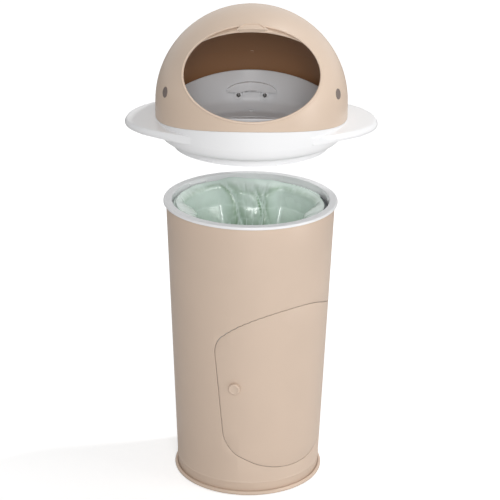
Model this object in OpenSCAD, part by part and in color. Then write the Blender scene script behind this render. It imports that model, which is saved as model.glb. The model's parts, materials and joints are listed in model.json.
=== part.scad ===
// Diaper pail: a tapered steel can with a side door, a film bag on a ring, and a
// domed lid with two wings, a turning visor and a sprung throat flap.
// Millimetres, +Z up. The origin is the centre of the foot, on the floor, and -Y is the front.
// The lid is drawn lifted off, as it is when the bag is changed.

/* [Pail body] */
// Height of the steel wall's upper edge above the floor
pail_h = 432; // [380:2:500]
// Outer radius of the wall at its upper edge
body_top_r = 125; // [118:0.5:132]
// Outer radius of the wall at the floor
body_bottom_r = 108.3; // [102:0.5:114]
// Thickness of the steel sheet
sheet_t = 1.2; // [0.8:0.1:1.6]
// Overhang of the rolled bead beyond the wall's foot
rim_over = 5.1; // [3.2:0.1:8]
// Height of the rolled bead
base_rim_h = 6; // [5:0.5:9]
// Height of the floor pan's disc above the floor
floor_z = 10; // [9:0.5:20]
// Width of the rubber foot ring
foot_w = 5; // [3:0.5:6]
// Height of the rubber foot ring
foot_h = 3; // [2:0.5:4]
// Height of the embossed line round the wall
emboss_z = 20; // [14:1:30]

/* [Collar] */
// Overhang of the brim beyond the wall
brim_over = 4; // [2:0.5:7]
// Thickness of the brim
brim_t = 4.4; // [3:0.2:7]
// Distance of the mouth that the lid drops into from the wall's outer face
mouth_set = 8.5; // [7.5:0.25:10.5]
// Wall of the tube under the brim
collar_t = 2; // [1.5:0.1:3]
// Length of the tube under the brim
collar_depth = 25; // [24:1:60]
// Width of the ledge that carries the bag ring
ledge_w = 9; // [7:0.5:10]
// Reach of the six bayonet ledges into the mouth
catch_w = 1.6; // [1:0.1:1.8]
// Angle that each bayonet ledge spans
catch_angle = 18; // [10:1:19]

/* [Bag ring and bag] */
// Depth of the bag ring's upper edge below the brim
ring_drop = 10.4; // [10:0.2:14]
// Wall of the bag ring
ring_wall = 4; // [1.8:0.1:5]
// Width of the ring's foot
ring_foot = 6; // [5:0.5:7]
// Thickness of the bag's film, drawn thicker than it is
film_t = 0.8; // [0.5:0.1:1.2]
// Radius of the bag at its bottom
bag_bottom_r = 86; // [70:1:92]
// Height of the bag's bottom above the floor pan
bag_clear = 13; // [5:1:40]

/* [Door] */
// Gap round the door
door_gap = 1; // [0.7:0.1:1.6]
// Overlap of the frame behind the opening's edge
frame_w = 8; // [5:0.5:10]
// Thickness of the frame behind the door
frame_t = 1.5; // [1:0.1:2]
// Height of the free edge's upper corner
door_high = 249; // [240:1:262]
// Height of the free edge's lower corner
door_low = 76; // [66:1:90]
// Rounding of the corners at the hinge
door_corner_r = 45; // [20:1:50]
// Width of the stiffener behind the knob
stiff_w = 22; // [21:1:26]

/* [Hinges] */
// Bearing of the hinge line, from the front towards +X
hinge_az = 112; // [110:0.5:116]
// Height of the lower hinge's middle
hinge_low = 122; // [114:1:135]
// Height of the upper hinge's middle
hinge_high = 226; // [205:1:232]
// Length of a hinge along its pin
hinge_len = 34; // [24:1:40]
// Radius of the hinge pins
hinge_pin_r = 1.6; // [1.2:0.1:2]
// Outer radius of the knuckles
knuckle_r = 3.2; // [2.8:0.1:3.6]
// Width of a hinge leaf
leaf_w = 15; // [13:0.5:18]

/* [Knob and latch] */
// Bearing of the knob, from the front towards +X
knob_az = -10.3; // [-13:0.1:-8]
// Height of the knob
knob_z = 179; // [150:1:200]
// Radius of the knob
knob_r = 8.6; // [7:0.2:10]
// How far the knob stands out of the door
knob_h = 6; // [4:0.5:10]
// Radius of the knob's spindle
spindle_r = 3; // [2:0.1:3.6]
// Length of the latch cam from the spindle's axis
cam_len = 37; // [34:0.5:40]
// Width of the latch cam
cam_w = 12; // [9:0.5:14]
// Thickness of the latch cam
cam_t = 1.5; // [1:0.1:2]

/* [Lid] */
// How far the lid is lifted off its seat
lift_shown = 94; // [80:1:140]
// Height of the lock ring, from its lower edge to the bowl
skirt_h = 10.4; // [9.5:0.1:14]
// Radial clearance of the lock ring in the mouth
skirt_gap = 2.2; // [1.9:0.1:2.6]
// Wall of the lock ring
skirt_t = 2; // [1.5:0.1:3]
// Angle that each bayonet lug spans
lug_angle = 14; // [6:1:15]
// Clockwise turn from dropping in to locked
lock_turn = 41; // [38:1:42]
// Thickness of the seal ring
seal_t = 1.5; // [1:0.1:2.5]
// Width of the seal ring
seal_w = 5; // [3:0.5:8]

/* [Bowl and wings] */
// Overhang of the bowl's foot beyond the mouth's edge
bowl_foot_over = 1.5; // [0.5:0.5:5.5]
// Height of the bowl's curved part
bowl_h = 29; // [24:1:30]
// Wall of the lid's white mouldings
bowl_t = 2.2; // [1.8:0.1:3]
// Radius of a wing
wing_r = 83; // [70:1:92]
// Distance of a wing's centre from the axis
wing_x = 100; // [85:1:110]
// Set-back of a wing's centre from the dome's centre
wing_back = 6; // [0:0.5:12]
// Radius of a wing's long front edge
wing_front_r = 300; // [200:10:400]
// Thickness of a wing at its edge
wing_edge = 8; // [6:0.5:10]
// Thickness of a wing's top skin
wing_skin = 3; // [2:0.2:4]
// Radius that blends a wing into the bowl
wing_blend = 15; // [8:1:30]
// Droop of a wing towards its tip
wing_droop = 6; // [0:0.5:9]

/* [Dome] */
// Outer radius of the dome
dome_r = 139.5; // [138:0.5:143]
// Wall of the dome
dome_t = 2.2; // [1.8:0.1:2.6]
// Height of the dome's centre above the lock ring's lower edge
dome_c = 64.2; // [60:0.2:72]
// Height of the dome's lower edge at the sides, above the lock ring's lower edge
joint_low = 42.2; // [41:0.2:48]
// Radius of the arc that the dome's lower edge follows, seen from the side
joint_arc = 612; // [500:10:800]
// Half width of the opening
mouth_w = 96.2; // [80:0.2:98]
// Half height of the opening, along its slope
mouth_h = 67.7; // [55:0.1:68]
// Tilt of the opening's axis above level
mouth_tilt = 18.3; // [14:0.1:22]
// Rise of the opening's centre above its axis through the dome's centre
mouth_rise = 31.6; // [29:0.1:34]
// Height of the bead round the opening
bead_h = 0.6; // [0.4:0.1:1]
// Width of the bead round the opening
bead_w = 2.5; // [1.5:0.1:4]

/* [Visor] */
// Clearance between the dome and the visor
visor_gap = 0.8; // [0.6:0.1:1.5]
// Wall of the visor
visor_t = 2; // [1.5:0.1:2.4]
// Elevation of the visor's front edge when open
lip_open = 60.7; // [60:0.1:61.2]
// Travel from open to closed
visor_travel = 56.5; // [50:0.1:56.6]
// Angle that the visor spans from front to rear edge
visor_span = 67.5; // [66:0.5:75]
// Radius of the visor's pivot pins
pivot_r = 3; // [2:0.1:4]
// Half width of the finger tab at its root
tab_w = 20; // [14:0.5:20]
// Radius of the caps of the stop plugs
cap_r = 7.7; // [6:0.1:9]
// Radius of the stop plugs' stems
plug_r = 5; // [3.5:0.1:5.4]

/* [Funnel and flap] */
// Radius of the throat
throat_r = 82; // [76:0.5:84]
// Distance of the funnel's upper edge inside the dome's outer face
funnel_top_set = 11.3; // [9.5:0.2:13.5]
// Distance of the funnel inside the dome's outer face where its slope begins
funnel_mid_set = 17.5; // [15.5:0.5:20.5]
// Wall of the funnel
funnel_t = 1.8; // [1.4:0.1:2.4]
// Height of the funnel's edge at the sides, above the lock ring's lower edge
lining_low = 55.2; // [50:0.2:58]
// Radius of the arc that the funnel's edge follows, seen from the side
lining_arc = 432; // [380:2:600]
// Thickness of the flap
flap_t = 2.5; // [2:0.1:3]
// Gap round the flap
flap_gap = 1; // [0.6:0.1:1.5]
// Radius of the flap's pin
flap_pin_r = 1.5; // [1.2:0.1:1.8]
// Wire diameter of the flap's spring
wire_d = 0.9; // [0.6:0.1:1]
// Number of turns in the flap's spring
spring_turns = 7; // [4:1:9]

/* [Hidden] */
$fn = 96;

// Clearances: pieces that touch, pieces that pass each other, and a running pin
touch = 0.1;
pass = 0.3;
run = 0.06;
// Overlap of solids that are one piece
bite = 0.4;
far = 600;

// Radii that follow the wall and the dome
base_rim_r = body_bottom_r + rim_over;
bore_r = body_top_r - mouth_set;
bowl_foot_r = bore_r + bowl_foot_over;
funnel_top_r = dome_r - funnel_top_set;
funnel_mid_r = dome_r - funnel_mid_set;

// Heights of the pail
rim_lift = 0.6;
rim_top = rim_lift + base_rim_h;
shell_z = rim_lift + 1.4;
collar_top = pail_h + brim_t;
tube_low = pail_h - collar_depth;
ledge_t = 2;
ledge_top = tube_low + ledge_t;
slope = atan((body_top_r - body_bottom_r) / pail_h);
function body_r(z) = body_bottom_r + (body_top_r - body_bottom_r) * z / pail_h;
function wall_in_r(z) = body_r(z) - sheet_t;

// Foot
foot_out_r = body_bottom_r - sheet_t - 2;
foot_in_r = foot_out_r - foot_w;
emboss_h = 0.5;
emboss_w = 2;

// Bag and its ring
fold_gap = 0.4;
ring_out_r = bore_r - catch_w - fold_gap - film_t - pass;
ring_in_r = ring_out_r - ring_wall;
ring_top = collar_top - ring_drop;
ring_low = ledge_top + pass;
ring_foot_t = 2;
bag_r = ring_out_r - ring_foot - pass;
fold_r = ring_out_r + pass;
fold_depth = 12;
bag_low = floor_z + sheet_t + bag_clear;
bag_round = 10;

// Door outline: arc length from the front at the reference radius, height, corner radius
door_ref_r = 117;
hinge_s = hinge_az * PI / 180 * door_ref_r;
door_crest = 328;
door_crest_s = 29;
door_crest_r = 159;
door_keel = 23.3;
door_keel_s = 72;
door_keel_r = 165;
hinge_top = 259.4;
hinge_bottom = 88.9;
door_corners = [
    [-53.5, door_high, 34],
    [door_crest_s, door_crest, door_crest_r],
    [hinge_s, hinge_top, door_corner_r],
    [hinge_s, hinge_bottom, door_corner_r],
    [door_keel_s, door_keel, door_keel_r],
    [-38.3, door_low, 48.7]
];
corner_steps = 9;

// Rounded outline: each corner of a convex loop, as an arc grown by d
function unit(v) = v / norm(v);
function flat(p) = [p[0], p[1]];
function corner_centre(a, p, b) =
    let (u = unit(flat(a) - flat(p)), w = unit(flat(b) - flat(p)), half = acos(u * w) / 2)
    flat(p) + unit(u + w) * p[2] / sin(half);
function corner_foot(c, p, q) =
    let (u = unit(flat(q) - flat(p)))
    flat(p) + u * ((c - flat(p)) * u) - c;
function turn(a, b) = let (t = b - a) t > 180 ? t - 360 : (t < -180 ? t + 360 : t);
function rounded(loop, d) = [
    for (i = [0 : len(loop) - 1])
        let (
            p = loop[i],
            a = loop[(i + len(loop) - 1) % len(loop)],
            b = loop[(i + 1) % len(loop)],
            c = corner_centre(a, p, b),
            s = corner_foot(c, p, a),
            e = corner_foot(c, p, b),
            t0 = atan2(s[1], s[0]),
            t1 = turn(t0, atan2(e[1], e[0]))
        )
        for (k = [0 : corner_steps])
            let (t = t0 + t1 * k / corner_steps)
            c + (p[2] + d) * [cos(t), sin(t)]
];

// Radial block inside the door outline grown by d, to cut or keep the wall
core_r = 80;
rind_r = 175;
function bearing(s) = s * 180 / PI / door_ref_r;
function around(r, s, z) = [r * sin(bearing(s)), -r * cos(bearing(s)), z];
module door_block(d) {
    line = rounded(door_corners, d);
    n = len(line);
    mid = [(hinge_s - 50) / 2, 165];
    points = concat(
        [for (p = line) around(rind_r, p[0], p[1])],
        [for (p = line) around(core_r, p[0], p[1])],
        [around(rind_r, mid[0], mid[1]), around(core_r, mid[0], mid[1])]
    );
    faces = concat(
        [for (i = [0 : n - 1]) [i, (i + 1) % n, 2 * n]],
        [for (i = [0 : n - 1]) [n + (i + 1) % n, n + i, 2 * n + 1]],
        [for (i = [0 : n - 1]) [i, n + i, (i + 1) % n]],
        [for (i = [0 : n - 1]) [(i + 1) % n, n + i, n + (i + 1) % n]]
    );
    polyhedron(points, faces);
}

// Shell of the tapered wall between two depths below its outer face
module wall_band(z0, z1, outer, inner) {
    rotate_extrude()
        polygon([
            [body_r(z0) - outer, z0],
            [body_r(z1) - outer, z1],
            [body_r(z1) - inner, z1],
            [body_r(z0) - inner, z0]
        ]);
}

// Frame on the wall: x along the girth, y up the wall, z outwards
module on_wall(az, z) {
    rotate([0, 0, az])
        translate([0, -body_r(z), z])
            rotate([90 + slope, 0, 0])
                children();
}

// Hinge line, just outside the wall
hinge_out = knuckle_r + 0.4;
leaf_t = 1.2;
hinge_mids = [hinge_low, hinge_high];
rivet_r = 1.6;
rivet_head_r = 2.6;
rivet_head_t = 0.8;
rivet_s = 10.2;
rivet_y = hinge_len / 2 - 7;
knuckle_gap = 0.3;
knuckle_mid = hinge_len * 0.4;
module hinge_line(z) {
    on_wall(hinge_az, z)
        translate([0, 0, hinge_out])
            rotate([-90, 0, 0])
                children();
}
module knuckle(from, to, hole) {
    translate([0, 0, from])
        difference() {
            cylinder(r = knuckle_r, h = to - from);
            translate([0, 0, -1])
                cylinder(r = hole, h = to - from + 2);
        }
}
// Side of the hinge: -1 towards the door, 1 towards the body
module leaf(side) {
    inner = side > 0 ? 1.4 : door_gap + 0.4;
    width = leaf_w - inner;
    difference() {
        intersection() {
            children(0);
            translate([side * (inner + width / 2), 0, 0])
                cube([width, hinge_len, 30], center = true);
        }
        for (y = [-rivet_y, rivet_y])
            translate([side * rivet_s, y, -20])
                cylinder(r = rivet_r, h = 40);
        other_knuckles(side);
    }
}
// Room for the knuckles of the hinge's other half
module other_knuckles(side) {
    reach = side > 0 ? knuckle_mid + 2 * knuckle_gap : hinge_len;
    translate([0, 0, hinge_out])
        rotate([-90, 0, 0])
            for (end = side > 0 ? [0] : [-1, 1])
                translate([0, 0, end * (knuckle_mid + hinge_len) / 2])
                    cylinder(r = knuckle_r + pass, h = reach, center = true);
}

// Knob and latch, by depth below the door's outer face
spindle_run = 0.1;
bush_t = 1;
bush_r = spindle_r + spindle_run + bush_t;
bush_flange_r = bush_r + 1.8;
bush_flange_t = 0.8;
stiff_t = 1.5;
stiff_gap = touch;
tip_sag = cam_len * cam_len / (2 * door_ref_r);
cam_top = -(sheet_t + pass + frame_t + tip_sag + 0.6);
cam_low = cam_top - cam_t;
stiff_h = 84;
knob_seat = bush_flange_t + pass;
knob_round = 2.4;
cam_hub_r = 7.5;
washer_r = 5;
washer_t = 1;
screw_r = 1.6;
screw_head_r = 3.2;
screw_head_t = 2;
rivet_len = 0.9;
strap_y = stiff_h / 2 - 9;

// Lid heights, from the lock ring's lower edge
seal_gap = 0.3;
seal_low = skirt_h - seal_gap - seal_t;
seat_gap = 0.2;
lid_z = collar_top + seat_gap - seal_low + lift_shown;
dome_z = lid_z + dome_c;
skirt_r = bore_r - skirt_gap;
lug_r = bore_r - pass;
lug_low = 0.9;
lug_t = 2;
catch_low = collar_top + seat_gap - seal_low + lug_low + lug_t + pass;
catch_top = collar_top - 1.6;
lug_count = 6;
lug_pitch = 360 / lug_count;
lug_az = 55;
catch_az = lug_az - lock_turn;
stop_angle = 1.3;
stop_az = catch_az - (catch_angle - stop_angle) / 2 + 0.3;
flange_w = 10.3;
flange_in_r = skirt_r - flange_w;
flange_t = 2.4;
bowl_top = skirt_h + bowl_h;
bowl_steps = 12;
wing_top = joint_low - 0.2;
wing_lead = 43.4;
wing_root = 53;
joint_gap = touch;
dome_in_r = dome_r - dome_t;
visor_r = dome_in_r - visor_gap;
visor_in_r = visor_r - visor_t;

// Funnel heights, from the lock ring's lower edge
funnel_foot_z = skirt_h + bowl_t + touch;
lip_top = funnel_foot_z + 3.3;
lip_t = 2;
cone_rise = 12;
cone_top = lip_top + cone_rise;
lip_out_set = 8.3;
lip_out_r = skirt_r - lip_out_set;

// Screws from below through the lock ring's flange
base_screw_r = 1.5;
base_screw_head_r = 2.9;
base_screw_ring = skirt_r - 5.8;
base_screw_top = lip_top - 0.6;
base_boss_r = 3.6;
boss_foot_z = funnel_foot_z + 0.3;
screw_turns = [for (k = [0 : 5]) 60 * k + 30];

// Legs of the dome, and the bosses in the bowl that they stand on
leg_r = 3.3;
leg_ring = dome_in_r + bite - leg_r;
leg_low = skirt_h + 20;
leg_top = dome_c - 3;
leg_turns = [-11, 52, 128, 191];
leg_hole = 14;
dome_screw_r = 1.5;
dome_screw_head_r = 2.8;
dome_screw_head_t = 1.8;
sink_z = skirt_h + 12;

// Cover on the funnel's back wall
cover_t = 3;
cover_half = 37.5;
cover_spring = 45;
cover_rise = 13;
cover_foot = 43.5;
tongue_half = 14;
tongue_low = 20;
tongue_t = 1.7;
recess_half = tongue_half + 0.5;
recess_spring = 41;
recess_rise = 5;
cover_screw_x = 20;
cover_screw_z = 38;
cover_boss_r = 6.4;
cover_screw_head_r = 3;

// Flap, its hinge and its spring
flap_r = throat_r - flap_gap;
flap_top = lip_top - 0.4;
flap_low = flap_top - flap_t;
flap_axis_y = throat_r + 6;
flap_axis_z = lip_top - lip_t - 3.2;
flap_knuckle_r = 2.6;
flap_arm_x = 20;
flap_arm_w = 5;
ear_x = 26;
ear_w = 3;
pin_half = ear_x + ear_w / 2 + 1.5;
coil_r = flap_pin_r + 0.4 + wire_d / 2;
coil_half = 8;
leg_len = 14;

// Visor
arm_polar = 41;
arm_front = 86.3;
ear_r = 13;
pin_head_r = 6;
pin_head_t = 2.2;
plug_polar = 28.5;
plug_elev = 24.7;
cap_proud = 0.5;
cap_sink = 0.8;
plug_in_r = visor_in_r + 0.3;
tab_elev_low = lip_open - 0.2;
tab_elev_top = 65.1;
tab_elev_stalk = 62.8;
tab_top_w = 11;
tab_low_r = dome_r + bead_h + 0.4;
tab_t = 1.8;
pad_inset = 2.2;
pad_sink = 0.8;
tab_rib = 0.45;

module body_shell() {
    color("tan")
        difference() {
            union() {
                wall_band(shell_z, pail_h, 0, sheet_t);
                rotate_extrude()
                    polygon([
                        [body_r(emboss_z - emboss_w) - bite, emboss_z - emboss_w],
                        [body_r(emboss_z - emboss_w), emboss_z - emboss_w],
                        [body_r(emboss_z) + emboss_h, emboss_z],
                        [body_r(emboss_z + emboss_w), emboss_z + emboss_w],
                        [body_r(emboss_z + emboss_w) - bite, emboss_z + emboss_w]
                    ]);
            }
            door_block(0);
            body_rivet_holes(1);
        }
}

module base_rim() {
    groove_in = wall_in_r(rim_top) - 0.4;
    color("tan")
        rotate_extrude()
            difference() {
                union() {
                    translate([base_rim_r - base_rim_h / 2, rim_lift + base_rim_h / 2])
                        circle(r = base_rim_h / 2);
                    translate([foot_in_r - 1, rim_lift])
                        square([base_rim_r - base_rim_h / 2 - foot_in_r + 1, base_rim_h]);
                }
                translate([groove_in, shell_z])
                    square([body_r(rim_top) + touch - groove_in, base_rim_h]);
                translate([foot_in_r, 0])
                    square([foot_w, foot_h]);
            }
}

module floor_pan() {
    pan_r = wall_in_r(rim_top) - touch;
    color("lightgray")
        rotate_extrude()
            union() {
                translate([0, floor_z])
                    square([pan_r, sheet_t]);
                translate([pan_r - sheet_t, rim_top])
                    square([sheet_t, floor_z + sheet_t - rim_top]);
            }
}

module foot_ring() {
    color("dimgray")
        rotate_extrude()
            translate([foot_in_r + touch, 0])
                square([foot_w - 2 * touch, foot_h]);
}

// Arc of a ring in the mouth, centred on a bearing
module ring_arc(az, span, r0, r1, z0, z1) {
    rotate([0, 0, az - span / 2])
        rotate_extrude(angle = span)
            translate([r0, z0])
                square([r1 - r0, z1 - z0]);
}

module collar() {
    rib_r = wall_in_r(pail_h - 8) - touch;
    color("white") {
        rotate_extrude()
            union() {
                translate([bore_r, pail_h])
                    square([body_top_r + brim_over - brim_t / 2 - bore_r, brim_t]);
                translate([body_top_r + brim_over - brim_t / 2, pail_h + brim_t / 2])
                    circle(r = brim_t / 2);
                translate([bore_r, tube_low])
                    square([collar_t, collar_depth + bite]);
                translate([rib_r - 2, pail_h - 8])
                    square([2, 8 + bite]);
                translate([bore_r - ledge_w, tube_low])
                    square([ledge_w + bite, ledge_t]);
            }
        for (k = [0 : lug_count - 1]) {
            ring_arc(catch_az + lug_pitch * k, catch_angle, bore_r - catch_w, bore_r + bite,
                catch_low, catch_top);
            ring_arc(stop_az + lug_pitch * k, stop_angle, bore_r - catch_w + 0.2, bore_r + bite,
                catch_low - lug_t, catch_low + bite);
        }
    }
}

module door_frame() {
    depth = sheet_t + pass;
    color("gainsboro")
        difference() {
            intersection() {
                wall_band(floor_z + 8, pail_h - 60, depth, depth + frame_t);
                union() {
                    door_block(frame_w);
                    for (z = hinge_mids)
                        on_wall(hinge_az, z)
                            translate([0, -hinge_len / 2, -20])
                                cube([leaf_w, hinge_len, 30]);
                }
            }
            door_block(-frame_w);
            body_rivet_holes(1);
            body_rivet_holes(-1, pass);
        }
}

// Holes of the hinge rivets in the wall: 1 for the body's side, -1 for the door's
module body_rivet_holes(side, gap = 0) {
    for (z = hinge_mids)
        on_wall(hinge_az, z)
            for (y = [-rivet_y, rivet_y])
                translate([side * rivet_s, y, -20])
                    cylinder(r = rivet_r + gap, h = 30);
}

module hinge_rivets(side, depth) {
    for (z = hinge_mids)
        on_wall(hinge_az, z)
            for (y = [-rivet_y, rivet_y])
                translate([side * rivet_s, y, 0]) {
                    sag = rivet_s * rivet_s / (2 * door_ref_r);
                    sag_in = pow(rivet_s - rivet_head_r, 2) / (2 * door_ref_r);
                    translate([0, 0, leaf_t - sag_in + touch])
                        cylinder(r = rivet_head_r, h = rivet_head_t);
                    translate([0, 0, -depth - sag - rivet_len])
                        cylinder(r = rivet_r, h = depth + leaf_t + rivet_len + rivet_head_t);
                }
}

module body_hinge_leaves() {
    color("silver")
        for (z = hinge_mids) {
            on_wall(hinge_az, z)
                leaf(1)
                    leaf_skin(z);
            hinge_line(z)
                for (end = [-1, 1])
                    difference() {
                        union() {
                            knuckle_end(end, hinge_pin_r);
                            knuckle_web(end, 1);
                        }
                        translate([0, 0, -hinge_len])
                            cylinder(r = hinge_pin_r, h = 2 * hinge_len);
                    }
        }
}

module door_hinge_leaves() {
    color("silver")
        for (z = hinge_mids) {
            on_wall(hinge_az, z)
                leaf(-1)
                    leaf_skin(z);
            hinge_line(z)
                difference() {
                    union() {
                        knuckle(-knuckle_mid / 2, knuckle_mid / 2, hinge_pin_r + run);
                        translate([-knuckle_r - 1.4, 0.4, -knuckle_mid / 2])
                            cube([knuckle_r + 1.4, hinge_out - 0.4 - touch, knuckle_mid]);
                    }
                    translate([0, 0, -hinge_len])
                        cylinder(r = hinge_pin_r + run, h = 2 * hinge_len);
                }
        }
}

// Skin of a leaf, in the frame of the wall at height z
module leaf_skin(z) {
    rotate([-90 - slope, 0, 0])
        translate([0, body_r(z), -z])
            wall_band(z - hinge_len, z + hinge_len, -leaf_t, -touch);
}

// The two outer knuckles of a hinge belong to the body
module knuckle_end(end, hole) {
    start = knuckle_mid / 2 + knuckle_gap;
    from = end > 0 ? start : -hinge_len / 2;
    knuckle(from, from + hinge_len / 2 - start, hole);
}

module knuckle_web(end, side) {
    start = knuckle_mid / 2 + knuckle_gap;
    from = end > 0 ? start : -hinge_len / 2;
    translate([0, 0.4, from])
        cube([knuckle_r + 1.4, hinge_out - 0.4 - touch, hinge_len / 2 - start]);
}

module body_hinge_rivets() {
    color("silver")
        hinge_rivets(1, sheet_t + pass + frame_t);
}

module hinge_pins() {
    color("gray")
        for (z = hinge_mids)
            hinge_line(z)
                translate([0, 0, -hinge_len / 2])
                    cylinder(r = hinge_pin_r, h = hinge_len);
}

module door_panel() {
    color("tan")
        difference() {
            intersection() {
                wall_band(floor_z + 8, pail_h - 60, 0, sheet_t);
                door_block(-door_gap);
            }
            body_rivet_holes(-1);
            on_wall(knob_az, knob_z)
                translate([0, 0, -10])
                    cylinder(r = bush_r, h = 20);
        }
}

module door_stiffener() {
    depth = sheet_t + stiff_gap;
    color("gainsboro")
        difference() {
            intersection() {
                wall_band(knob_z - stiff_h, knob_z + stiff_h, depth, depth + stiff_t);
                on_wall(knob_az, knob_z)
                    cube([stiff_w, stiff_h, 20], center = true);
            }
            on_wall(knob_az, knob_z)
                translate([0, 0, -10])
                    cylinder(r = bush_r, h = 20);
        }
}

module door_hinge_rivets() {
    color("silver")
        hinge_rivets(-1, sheet_t);
}

module knob_bush() {
    depth = sheet_t + stiff_gap + stiff_t;
    color("dimgray")
        on_wall(knob_az, knob_z)
            difference() {
                union() {
                    translate([0, 0, -depth - 1])
                        cylinder(r = bush_r, h = depth + 1 + bite);
                    translate([0, 0, touch])
                        cylinder(r = bush_flange_r, h = bush_flange_t);
                }
                translate([0, 0, -20])
                    cylinder(r = spindle_r + spindle_run, h = 40);
            }
}

module door_knob() {
    steps = 6;
    color("tan")
        on_wall(knob_az, knob_z)
            difference() {
                union() {
                    rotate_extrude()
                        polygon(concat(
                            [[0, knob_seat], [knob_r, knob_seat]],
                            [for (k = [0 : steps])
                                let (t = 90 * k / steps)
                                [knob_r - knob_round * (1 - cos(t)),
                                    knob_h - knob_round * (1 - sin(t))]],
                            [[0, knob_h]]
                        ));
                    translate([0, 0, cam_low])
                        cylinder(r = spindle_r, h = knob_seat - cam_low + bite);
                }
                translate([0, 0, cam_low - 1])
                    cylinder(r = screw_r, h = 9);
            }
}

// Rest: the cam points up and the door is free; a quarter turn hooks it behind the frame
module latch_cam() {
    color("silver")
        on_wall(knob_az, knob_z)
            translate([0, 0, cam_low])
                difference() {
                    union() {
                        cylinder(r = cam_hub_r, h = cam_t);
                        translate([-cam_w / 2, 0, 0])
                            cube([cam_w, cam_len - cam_w / 2, cam_t]);
                        translate([0, cam_len - cam_w / 2, 0])
                            cylinder(r = cam_w / 2, h = cam_t);
                    }
                    translate([0, 0, -1])
                        cylinder(r = spindle_r, h = cam_t + 2);
                }
}

module cam_washer() {
    color("silver")
        on_wall(knob_az, knob_z)
            translate([0, 0, cam_low - washer_t])
                difference() {
                    cylinder(r = washer_r, h = washer_t);
                    translate([0, 0, -1])
                        cylinder(r = screw_r, h = washer_t + 2);
                }
}

module cam_screw() {
    color("gray")
        on_wall(knob_az, knob_z)
            translate([0, 0, cam_low - washer_t - screw_head_t]) {
                cylinder(r = screw_head_r, h = screw_head_t);
                cylinder(r = screw_r, h = screw_head_t + washer_t + 7);
            }
}

module bag_ring() {
    color("darkslategray")
        rotate_extrude()
            union() {
                translate([ring_in_r, ring_low])
                    square([ring_wall, ring_top - ring_low]);
                translate([ring_out_r - ring_foot, ring_low])
                    square([ring_foot, ring_foot_t]);
            }
}

// A closed cup of film that folds over the ring
module bag() {
    top = ring_top + pass + film_t;
    color("honeydew")
        rotate_extrude()
            polygon([
                [0, bag_low],
                [bag_bottom_r - bag_round, bag_low],
                [bag_bottom_r, bag_low + bag_round],
                [bag_r, tube_low],
                [bag_r, ring_top + pass],
                [fold_r, ring_top + pass],
                [fold_r, ring_top - fold_depth],
                [fold_r + film_t, ring_top - fold_depth],
                [fold_r + film_t, top],
                [bag_r - film_t, top],
                [bag_r - film_t, tube_low],
                [bag_bottom_r - film_t, bag_low + bag_round],
                [bag_bottom_r - bag_round, bag_low + film_t],
                [0, bag_low + film_t]
            ]);
}

module at_lid() {
    translate([0, 0, lid_z])
        children();
}

module at_dome() {
    translate([0, 0, dome_z])
        children();
}

module seal_ring() {
    color("gainsboro")
        at_lid()
            rotate_extrude()
                translate([skirt_r + pass, seal_low])
                    square([seal_w, seal_t]);
}

module screw_spots(ring, turns) {
    for (a = turns)
        rotate([0, 0, a])
            translate([ring, 0, 0])
                children();
}

module lock_ring() {
    color("white")
        at_lid()
            difference() {
                union() {
                    rotate_extrude()
                        union() {
                            translate([skirt_r - skirt_t, 0])
                                square([skirt_t, skirt_h - touch]);
                            translate([flange_in_r, skirt_h - touch - flange_t])
                                square([skirt_r - flange_in_r - bite, flange_t]);
                        }
                    for (k = [0 : lug_count - 1])
                        ring_arc(lug_az + lug_pitch * k, lug_angle, skirt_r - bite, lug_r,
                            lug_low, lug_low + lug_t);
                }
                screw_spots(base_screw_ring, screw_turns)
                    cylinder(r = base_screw_r + touch, h = skirt_h);
            }
}

// Quarter ellipse of the bowl: radius and height, from the foot to the upright wall
function bowl_point(t, inset) = [
    bowl_foot_r + (dome_r - inset - bowl_foot_r) * sin(t),
    skirt_h + inset + (bowl_h - inset) * (1 - cos(t))
];

// Space below an arc over the lid, grown by d: radius of the arc and its lowest height
module over_arc(arc, low, d) {
    translate([0, 0, low + arc])
        rotate([0, 90, 0])
            cylinder(r = arc + d, h = far, center = true, $fn = 360);
}

// Frame of a wing: its root stays put and its tip droops
module at_wing(side) {
    translate([side * dome_r, 0, wing_top])
        rotate([0, side * wing_droop, 0])
            translate([-side * dome_r, 0, -wing_edge])
                children();
}

module wing_web(side) {
    reach = norm([wing_x, wing_back]);
    c1 = dome_r + wing_blend;
    c2 = wing_r + wing_blend;
    x = (c1 * c1 - c2 * c2 + reach * reach) / (2 * reach);
    y = sqrt(c1 * c1 - x * x);
    rotate([0, 0, side * atan2(wing_back, wing_x)])
        for (turn = [-1, 1])
            translate([0, 0, 1])
                linear_extrude(height = wing_edge - 2)
                    difference() {
                        polygon([[side * x / 2, 0], [side * reach, 0], [side * x, turn * y]]);
                        translate([side * x, turn * y])
                            circle(r = wing_blend);
                    }
}

// Long front edge of a wing, which runs from its round end into the bowl
module wing_front(side) {
    turn = [cos(wing_lead), -sin(wing_lead)];
    from = [wing_x, wing_back] + wing_r * turn;
    centre = [wing_x, wing_back] - (wing_front_r - wing_r) * turn;
    scale([side, 1, 1])
        linear_extrude(height = wing_edge)
            intersection() {
                translate(centre)
                    circle(r = wing_front_r);
                polygon([[0, 0], 2 * from, 2 * dome_r * [cos(wing_root), -sin(wing_root)]]);
            }
}

module wing(side) {
    half = wing_edge / 2;
    translate([side * wing_x, wing_back, 0])
        difference() {
            rotate_extrude()
                union() {
                    square([wing_r - half, wing_edge]);
                    translate([wing_r - half, half])
                        circle(r = half);
                }
            translate([0, 0, -1])
                cylinder(r = wing_r - half - 1, h = wing_edge - wing_skin + 1);
        }
}

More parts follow.
